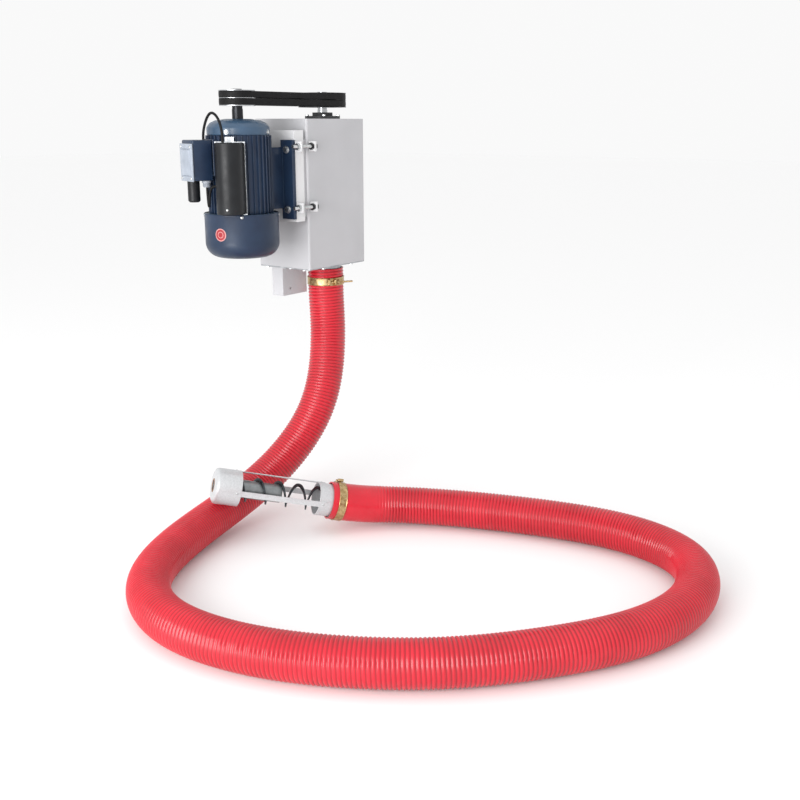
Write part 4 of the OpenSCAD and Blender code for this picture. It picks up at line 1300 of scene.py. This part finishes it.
@dataclass
class MotorBody:
    """The motor's casting, end shield and fan cowl."""

    body: str = "carriage"
    bore: float = 72.0
    barrel: float = 84.0
    fin_tip: float = 89.0
    fin_count: int = 36
    pad: float = 92.0
    frame_low: float = -39.0
    frame_high: float = 169.0
    shield_high: float = 211.0
    cowl_radius: float = 102.0
    cowl_round: float = 40.0
    cowl_low: float = -159.0
    cowl_high: float = -38.0
    terminal_deg: float = 158.0
    capacitor_deg: float = 210.0
    pad_root: float = 60.0
    terminal_pad: tuple[float, float, float] = (38.0, 63.0, 159.0)
    capacitor_pad: tuple[float, float, float] = (26.0, -31.0, 145.0)
    foot_half: float = 22.5
    foot_reach: float = 62.5
    foot_length: float = 218.0
    foot_thick: float = 12.0
    web_half: float = 5.0
    web_reach: float = 42.5
    web_root: float = 50.0
    web_ends: tuple[float, float] = (30.0, 198.0)
    rib_count: int = 8
    rib_half: float = 2.2
    cowl_wall: float = 2.0
    cowl_eye: float = 47.0
    guard_radii: tuple[float, ...] = (4.0, 14.0, 25.0, 36.0)
    guard_bars: int = 8
    foot_bolt_edge: tuple[float, float] = (7.8, 9.0)

    def place(self, turn_deg: float = 0.0) -> Matrix:
        """Returns the shaft's place, turned so that local X points outwards."""
        return upright(*axis_of("motor_shaft"), turn_deg=turn_deg)

    def around_shaft(self, piece: bpy.types.Object, finish: Finish, count: int) -> bpy.types.Object:
        """Copies a piece around the shaft at equal turns.

        Args:
            piece: The piece to copy.
            finish: The finish that the copies wear.
            count: Number of copies.

        Returns:
            The same piece with all its copies.
        """
        return RING_COPIES.run(piece, finish, Count=count, Centre=(*axis_of("motor_shaft"), 0.0))

    def fin(self) -> bpy.types.Object:
        """Makes one tapered cooling fin, out along X from the shaft's axis.

        Returns:
            The fin.
        """
        outline = rounded_corners([(self.barrel - 2, -1.9), (self.fin_tip, -1.0),
                                   (self.fin_tip, 1.0), (self.barrel - 2, 1.9)], 0.8, 3)
        return prism("motor_fins", outline, self.frame_low + 1, self.frame_high - 1, Matrix(), 0.6)

    def frame(self) -> None:
        """Builds the finned barrel with its pads and feet."""
        x, y = (c / MM for c in axis_of("motor_shaft"))
        fins = self.around_shaft(self.fin(), MOTOR_BLUE, self.fin_count)
        barrel = [(self.bore, self.frame_low), (self.barrel, self.frame_low),
                  (self.barrel, self.frame_high), (self.bore, self.frame_high)]
        parts = [lathe("barrel", rounded_corners(barrel, 1.5), self.place(), 128)]
        low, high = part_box("motor_frame")
        for turn, (half, bottom, top) in ((self.terminal_deg, self.terminal_pad),
                                          (self.capacitor_deg, self.capacitor_pad)):
            parts.append(slab("pad", (self.pad_root, -half, bottom), (self.pad, half, top),
                              self.place(turn), 5, 2))
        face, floor = high[0] / MM, low[2] / MM
        for side in (-1, 1):
            foot, web = y + side * self.foot_reach, y + side * self.web_reach
            parts.append(slab("foot", (face - self.foot_thick, foot - self.foot_half, floor),
                              (face, foot + self.foot_half, floor + self.foot_length), Matrix(), 2, 1.5))
            parts.append(slab("web", (x + self.web_root, web - self.web_half, floor + self.web_ends[0]),
                              (face - self.foot_thick + 1, web + self.web_half, floor + self.web_ends[1]),
                              Matrix(), 1.5, 2))
        casting = joined("motor_casting", parts)
        settle(casting, self.body, MOTOR_BLUE, "motor_frame")
        settle(fins, self.body, MOTOR_BLUE)
        fins.data.shade_smooth()
        fins.data.set_sharp_from_angle(angle=math.radians(40))

    def shield(self) -> None:
        """Builds the domed upper shield with eight low ribs and four tie bolts."""
        top, rim = self.shield_high, self.barrel + 1
        profile = [(17, top), (36, top), (62, top - 5), (76, top - 12), (rim, top - 22),
                   (rim, self.frame_high), (rim - 7, self.frame_high), (rim - 8, top - 25),
                   (58, top - 13), (38, top - 11), (38, top - 36), (17, top - 36)]
        dome = lathe("upper_end_shield", rounded_corners(profile[::-1], 3.5), self.place(), 128)
        settle(dome, self.body, SHIELD_BLUE, "upper_shield")
        slope = [(40, top - 8), (40, top - 1.5), (61, top - 4), (75, top - 10.5), (81, top - 17),
                 (81, top - 24)]
        points = [(x * MM, y * MM, z * MM) for y in (-self.rib_half, self.rib_half) for x, z in slope]
        count = len(slope)
        walls = [(i, (i + 1) % count, (i + 1) % count + count, i + count) for i in range(count)]
        rib = outward(mesh_piece("shield_ribs", points,
                                 [tuple(range(count))[::-1], tuple(range(count, 2 * count)), *walls]))
        settle(self.around_shaft(rib, SHIELD_BLUE, self.rib_count), self.body, SHIELD_BLUE)
        spots = [spot_on(self.place(a), rim - 1, 0, self.frame_high + 8)
                 for a in (22.5, 112.5, 202.5, 292.5)]
        settle(stand_on("shield_screws", hex_bolt(5.5, 4, washer=6.5), spots, ZINC), self.body, ZINC)

    def cowl(self) -> None:
        """Builds the pressed fan cowl with its rounded edge, guard and screws."""
        wall, r, low, eye = self.cowl_wall, self.cowl_round, self.cowl_low, self.cowl_eye
        centre = (self.cowl_radius - r, low + r)
        bend = np.linspace(0, -math.pi / 2, 14)
        outer = [(self.cowl_radius, self.cowl_high), (self.cowl_radius + 0.8, self.cowl_high - 1.5),
                 (self.cowl_radius + 0.8, self.cowl_high - 4), (self.cowl_radius, self.cowl_high - 6)]
        outer += [(centre[0] + r * math.cos(a), centre[1] + r * math.sin(a)) for a in bend]
        inner = [(centre[0] + (r - wall) * math.cos(a), centre[1] + (r - wall) * math.sin(a))
                 for a in bend[::-1]]
        profile = [*outer, (eye, low), (eye, low + wall), *inner,
                   (self.cowl_radius - wall, self.cowl_high)]
        shell = lathe("fan_cowl_shell", profile[::-1], self.place(), 128)
        guard = [lathe("hoop", rounded_corners([(a, low), (a + 4, low), (a + 4, low + wall),
                                                (a, low + wall)], 0.8, 2), self.place(), 48)
                 for a in self.guard_radii]
        bar = slab("guard_bars", (6, -1.6, low), (49, 1.6, low + wall), Matrix(), 0.6, 0.5)
        bars = self.around_shaft(bar, MOTOR_BLUE, self.guard_bars)
        settle(joined("fan_cowl_dome", [shell, *guard]), self.body, MOTOR_BLUE, "fan_cowl")
        settle(bars, self.body, MOTOR_BLUE)
        spots = [spot_on(self.place(a), self.cowl_radius - 0.2, 0, self.frame_low - 5)
                 for a in range(45, 360, 90)]
        settle(stand_on("cowl_screws", domed_screw(4.8, 3), spots, ZINC), self.body, ZINC,
               "motor_screws")

    def foot_bolts(self) -> None:
        """Builds the bolts that hold the feet to the carriage."""
        low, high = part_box("foot_bolts")
        head = 7.0
        side, end = (edge * MM for edge in self.foot_bolt_edge)
        spots = [((low[0] + head * MM, y, z), (-1, 0, 0))
                 for y in (low[1] + side, high[1] - side) for z in (low[2] + end, high[2] - end)]
        bolt = hex_bolt(9, head, shank=24, shank_radius=5, washer=10.5, grip=15)
        settle(stand_on("foot_bolt_set", bolt, spots, ZINC), self.body, ZINC, "foot_bolts")

    def build(self) -> None:
        """Builds the whole motor body."""
        self.frame()
        self.shield()
        self.cowl()
        self.foot_bolts()


@dataclass
class MotorElectrics:
    """The terminal box, capacitors, gland, leads and the printed disc."""

    motor: MotorBody
    box_face: float = 148.0
    box_half: float = 40.0
    box_low: float = 52.0
    box_high: float = 157.0
    lid_half: float = 43.0
    lid_thick: float = 5.0
    panel_half: float = 31.0
    cover_half: float = 37.0
    cover_straight: float = 14.0
    can_radius: float = 16.5
    can_centre: tuple[float, float] = (131.0, -10.0)
    gland_centre: tuple[float, float] = (106.0, 22.0)
    gland_rib: float = 2.0
    lead_radius: float = 3.5
    lead_sides: int = 18
    lead_steps: int = 12
    terminal_lead_mm: tuple[Point, ...] = (
        (-545, 15, 137), (-545, 15, 157.5), (-545, 15, 178), (-548, -2, 212),
        (-553, -28, 232), (-557, -58, 214), (-557, -69, 181), (-557, -69, 151.5), (-557, -69, 122),
    )
    capacitor_lead_mm: tuple[Point, ...] = (
        (-550, 4, 65), (-550, 4, 45), (-550, 4, 25), (-551, 2, 0), (-556, -6, -24),
        (-562, -15, 5), (-560, -18, 30), (-557, -25, 38), (-552, -34, 38), (-547, -43, 38),
    )

    def under_box(self, centre: tuple[float, float]) -> Matrix:
        """Finds an upright place under the terminal box.

        Args:
            centre: The place's X and Y from the shaft, in millimetres, with X towards the box.

        Returns:
            The place.
        """
        return self.motor.place(self.motor.terminal_deg) @ Matrix.Translation(
            (centre[0] * MM, centre[1] * MM, 0))

    def terminal_box(self) -> None:
        """Builds the cast box, its lid and the lid's four screws."""
        place = self.motor.place(self.motor.terminal_deg)
        body = self.motor.body
        front = self.box_face + self.lid_thick
        casting = slab("terminal_casting", (self.motor.pad, -self.box_half, self.box_low),
                       (self.box_face, self.box_half, self.box_high), place, 6, 4)
        settle(casting, body, MOTOR_BLUE, "terminal_box")
        lid = slab("terminal_cover", (self.box_face, -self.lid_half, self.box_low - 2),
                   (front, self.lid_half, self.box_high - 9), place, 2, 2.2)
        raised = slab("raised_panel", (front - 0.5, -self.panel_half, self.box_low + 12),
                      (front + 1, self.panel_half, self.box_high - 23), place, 0.7, 3)
        settle(joined("terminal_cover", [lid, raised]), body, LID_GREY, "terminal_lid")
        spots = [spot_on(place, front - 0.2, y, self.box_low + z)
                 for y in (-33, 33) for z in (6, 88)]
        settle(stand_on("cover_screws", domed_screw(4, 2.6), spots, ZINC), body, ZINC, "lid_screws")

    def gland(self) -> None:
        """Builds the ribbed cable gland under the terminal box."""
        place = self.under_box(self.gland_centre)
        low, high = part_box("cable_gland")
        bottom, top = low[2] / MM, high[2] / MM
        profile = [(4, bottom), (8.5, bottom), (10.5, bottom + 3)]
        for z in np.arange(bottom + 4, top - 7, self.gland_rib):
            profile += [(11, z), (10.2, z + self.gland_rib / 2)]
        profile += [(10.5, top - 6), (13, top - 5.5), (13, top), (4, top)]
        settle(lathe("gland", profile, place, 48), self.motor.body, GLAND_GREY, "cable_gland")

    def capacitors(self) -> None:
        """Builds the start capacitor's moulded cover and the run capacitor."""
        place = self.motor.place(self.motor.capacitor_deg)
        low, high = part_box("start_capacitor_cover")
        half, root = self.cover_half, self.motor.pad + 2
        middle = root + self.cover_straight
        arc = [(middle + half * math.cos(a), half * math.sin(a))
               for a in np.linspace(-math.pi / 2, math.pi / 2, 28)]
        outline = [(root, -half), *arc, (root, half)]
        cover = prism("capacitor_cover", outline, low[2] / MM, high[2] / MM, place, 3.5)
        flange = slab("flange", (root, -half - 3, low[2] / MM + 1), (root + 2.5, half + 3,
                                                                      high[2] / MM - 1), place, 1, 1)
        settle(joined("capacitor_cover", [cover, flange]), self.motor.body, BLACK_PLASTIC,
               "start_capacitor_cover")
        tie = spot_on(place, middle + half - 0.4, 0, low[2] / MM + 14)
        settle(stand_on("cover_tie", domed_screw(3.6, 2.2), [tie], ZINC), self.motor.body, ZINC)
        low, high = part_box("run_capacitor")
        r, bottom, top = self.can_radius, low[2] / MM, high[2] / MM
        can = [(1.2, bottom), (r - 4, bottom), (r, bottom + 4), (r, top - 1), (r - 1, top), (1.2, top)]
        settle(lathe("run_capacitor_case", can, self.under_box(self.can_centre), 48), self.motor.body,
               BLACK_PLASTIC, "run_capacitor")

    def leads(self) -> None:
        """Builds the two sheathed leads along their routes."""
        for name, node, route in (("sheathed_lead_upper", "terminal_lead", self.terminal_lead_mm),
                                  ("sheathed_lead_lower", "capacitor_lead", self.capacitor_lead_mm)):
            line = spline(route, self.lead_steps) * MM
            radius = np.full((len(line), self.lead_sides), self.lead_radius * MM)
            rings = around(line, (0.1, 1, 0.2), radius)
            settle(stacked(name, rings, smooth_deg=50), self.motor.body, BLACK_RUBBER, node)

    def disc(self) -> None:
        """Prints the plain ringed disc on the cowl."""
        low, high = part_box("rating_disc")
        centre = tuple((low[i] + high[i]) / 2 for i in range(3))
        PrintedDisc("disc_red", "96222b", "c58c89", roughness=(0.3, 0.36), patch_mm=20,
                    relief_mm=0.002, centre=centre).wear(frame["nodes"]["rating_disc"])

    def build(self) -> None:
        """Builds all the electrical parts."""
        self.terminal_box()
        self.gland()
        self.capacitors()
        self.leads()
        self.disc()


# ------------------------------------------------------------------- tensioner


@dataclass
class BeltTensioner:
    """The two threaded studs that draw the motor away from the head."""

    pitch: float = 1.75

    def build(self) -> None:
        """Builds both studs with their threads."""
        low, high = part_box("tension_studs")
        radius = (high[1] - low[1]) / 2
        y = (low[1] + high[1]) / 2
        studs = [threaded("stud", (low[0], y, z), (high[0], y, z), radius / MM, self.pitch)
                 for z in (low[2] + radius, high[2] - radius)]
        settle(joined("threaded_studs", studs), "carriage", ZINC, "tension_studs")


# ---------------------------------------------------------------------- clamps


@dataclass
class HoseClamps:
    """A T-bolt band at each end of the hose."""

    inner: float = 55.3
    outer: float = 56.9
    width: float = 24.0
    inlet_turn: float = 238.0
    cage_turn: float = 205.0
    cage_reach: float = 40.0
    trunnion: float = 9.0
    bolt_ends: tuple[float, float] = (-14.0, 66.0)
    bolt_radius: float = 3.0
    bolt_pitch: float = 1.5
    nut_place: float = 16.0

    def band(self, name: str, place: Matrix) -> bpy.types.Object:
        """Builds one band with rolled edges.

        Args:
            name: The band's name.
            place: The band's lower end, with Z along the hose.

        Returns:
            The band.
        """
        a, b, w = self.inner, self.outer, self.width
        profile = [(a, 0), (b, 0), (b + 1.0, 1.2), (b, 2.6), (b, w - 2.6), (b + 1.0, w - 1.2),
                   (b, w), (a, w)]
        return lathe(name, rounded_corners(profile, 0.5, 2), place, 96)

    def bolt(self, place: Matrix) -> list[bpy.types.Object]:
        """Builds one T-bolt with its two trunnions and nut.

        Args:
            place: The band's place, turned so that X points at the bolt.

        Returns:
            The bolt's loose parts.
        """
        x, middle = self.outer + 0.2, self.width / 2
        axis = x + self.trunnion / 2
        parts = [slab("trunnion", (x, y, 4), (x + self.trunnion, y + 8, self.width - 4), place, 2.5, 1)
                 for y in (-12, 8)]
        start, end = (place @ Vector((axis * MM, y * MM, middle * MM)) for y in self.bolt_ends)
        parts.append(threaded("t_bolt", start, end, self.bolt_radius, self.bolt_pitch))
        nut = hex_bolt(6, 7)
        nut.data.transform(place @ Matrix.Translation((axis * MM, self.nut_place * MM, middle * MM))
                           @ Matrix.Rotation(-math.pi / 2, 4, "X"))
        parts.append(nut)
        return parts

    def build(self, cage: Matrix) -> list[bpy.types.Object]:
        """Builds both bands and both bolts.

        Args:
            cage: The cage's place, with Z away from the hose.

        Returns:
            The bands and the piece with both bolts.
        """
        x, y = axis_of("drive_shaft")
        inlet = upright(x, y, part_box("inlet_clamp")[1][2] - self.width * MM)
        near = cage @ Matrix.Translation((0, 0, -self.cage_reach * MM))
        bands = [settle(self.band("inlet_band", inlet), "housing", YELLOW_ZINC, "inlet_clamp"),
                 settle(self.band("cage_band", near), "housing", YELLOW_ZINC, "cage_clamp")]
        bolts = self.bolt(inlet @ Matrix.Rotation(math.radians(self.inlet_turn), 4, "Z"))
        bolts += self.bolt(near @ Matrix.Rotation(math.radians(self.cage_turn), 4, "Z"))
        return [*bands, settle(joined("band_bolts", bolts), "housing", YELLOW_ZINC, "clamp_bolts")]


# ------------------------------------------------------------------------ cage


@dataclass
class IntakeCage:
    """The slotted intake at the hose's free end, with its turning spiral."""

    hose: SuctionHose
    length: float = 344.0
    cap_length: float = 74.0
    cap_outer: float = 51.4
    cap_hole: float = 20.0
    strip_angles: tuple[float, ...] = (90.0, 205.0, 270.0)
    strip_width: float = 16.0
    strip_thick: float = 2.0
    strip_start: float = 18.0
    strip_end: float = 12.0
    core_radius: float = 26.0
    core_bore: float = 12.0
    core_length: float = 178.0
    shaft_radius: float = 14.9
    shaft_length: float = 17.0
    end_room: float = 18.0
    spiral_start: float = 4.0
    spiral_end: float = 22.0
    spiral_gap: float = 0.6
    spiral_depth: float = 10.0
    spiral_thickness: float = 5.0
    spiral_pitch: float = 60.0
    steps_per_turn: int = 48

    def place(self) -> Matrix:
        """Returns the cage's place: the hose's end, with Z along the cage."""
        return self.hose.place_at_end()

    def end_cap(self) -> None:
        """Builds the rounded end cap."""
        end, r, hole = self.length, self.cap_outer, self.cap_hole
        start = end - self.cap_length
        cap = [(hole, end), (r - 10, end), (r - 1.5, end - 5), (r, end - 12), (r, start), (r - 1.5, start),
               (r - 1.5, end - 12), (r - 4, end - 6), (r - 11, end - 2), (hole, end - 2)]
        settle(lathe("intake_end_cap", rounded_corners(cap[::-1], 2.5, 4), self.place(), 96), "housing",
               CAGE_STEEL, "cage_end_cap")

    def strips(self) -> None:
        """Builds the curved strips between the collar and the cap."""
        inner = self.hose.pipe_outer + 0.1
        reach = self.strip_width / 2 / inner
        sweep = np.linspace(-reach, reach, 9)
        start, end = self.strip_start, self.length - self.strip_end
        parts = []
        for angle in self.strip_angles:
            turn = math.radians(angle)
            section = [(inner + self.strip_thick, turn + a) for a in sweep]
            section += [(inner, turn + a) for a in sweep[::-1]]
            rings = np.array([[(r * math.cos(a), r * math.sin(a), z) for r, a in section]
                              for z in (start, start + 0.5, end - 0.5, end)]) * MM
            parts.append(stacked("strip", rings))
        strips = joined("intake_strips", parts)
        strips.data.transform(self.place())
        settle(strips, "housing", CAGE_STEEL, "cage_strips")
        spots = []
        for angle in self.strip_angles:
            turned = self.place() @ Matrix.Rotation(math.radians(angle), 4, "Z")
            spots.append(spot_on(turned, inner + self.strip_thick, 0, self.strip_start + 10))
            spots.append(spot_on(turned, self.cap_outer, 0, self.length - self.cap_length + 12))
        settle(stand_on("intake_rivets", domed_screw(3.2, 1.6), spots, ZINC), "housing", ZINC,
               "cage_rivets")

    def auger(self) -> None:
        """Builds the core pipe and the flat spiral around it."""
        bore, radius, shaft = self.core_bore, self.core_radius, self.shaft_radius
        top = self.length - self.end_room
        bottom, tip = top - self.core_length, top + self.shaft_length
        core = [(bore, bottom), (radius, bottom), (radius, top), (shaft, top), (shaft, tip), (bore, tip)]
        pipe = lathe("core_pipe", rounded_corners(core, 1.2, 3), self.place(), 96)
        settle(pipe, "intake_auger", CORE_STEEL, "intake_core")
        inner, half = radius + self.spiral_gap, self.spiral_thickness / 2
        outer = inner + self.spiral_depth
        flat = rounded_corners([(inner, -half), (outer, -half), (outer, half), (inner, half)], 1.2, 2)
        heights = np.arange(self.spiral_start, self.length - self.spiral_end,
                            self.spiral_pitch / self.steps_per_turn)
        turns = (heights - self.spiral_start) / self.spiral_pitch * TAU
        rings = np.array([[(r * math.cos(a), r * math.sin(a), z + dz) for r, dz in flat]
                          for z, a in zip(heights, turns)]) * MM
        spiral = stacked("intake_flight", rings, smooth_deg=50)
        spiral.data.transform(self.place())
        settle(spiral, "intake_auger", SPRING_STEEL, "intake_spiral")

    def build(self) -> None:
        """Builds the whole intake."""
        self.end_cap()
        self.strips()
        self.auger()


def dress_frame() -> None:
    """Gives every CAD node the finish of its material slot."""
    finishes = {finish.slot: finish for finish in PLAIN_FINISHES}
    for part in frame["record"]["subparts"]:
        finish = finishes.get(part["material_slot"])
        if finish:
            finish.wear(frame["nodes"][part["node"]])
    # The shaft wears a darker copy of the bearing steel: painted shade.
    SHADED_SHAFT_STEEL.wear(frame["nodes"]["motor_shaft"])


def main() -> None:
    """Builds every sub-assembly in order and reports each piece."""
    logging.basicConfig(level=logging.INFO, format="%(message)s")
    bpy.context.scene.view_settings.view_transform = "Standard"
    Studio().build()
    hose = SuctionHose()
    hose.build()
    dress_frame()
    BeltDrive().build()
    motor = MotorBody()
    motor.build()
    MotorElectrics(motor).build()
    BeltTensioner().build()
    cage = IntakeCage(hose)
    cage.build()
    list(HoseClamps().build(cage.place()))


if __name__ == "__main__":
    main()
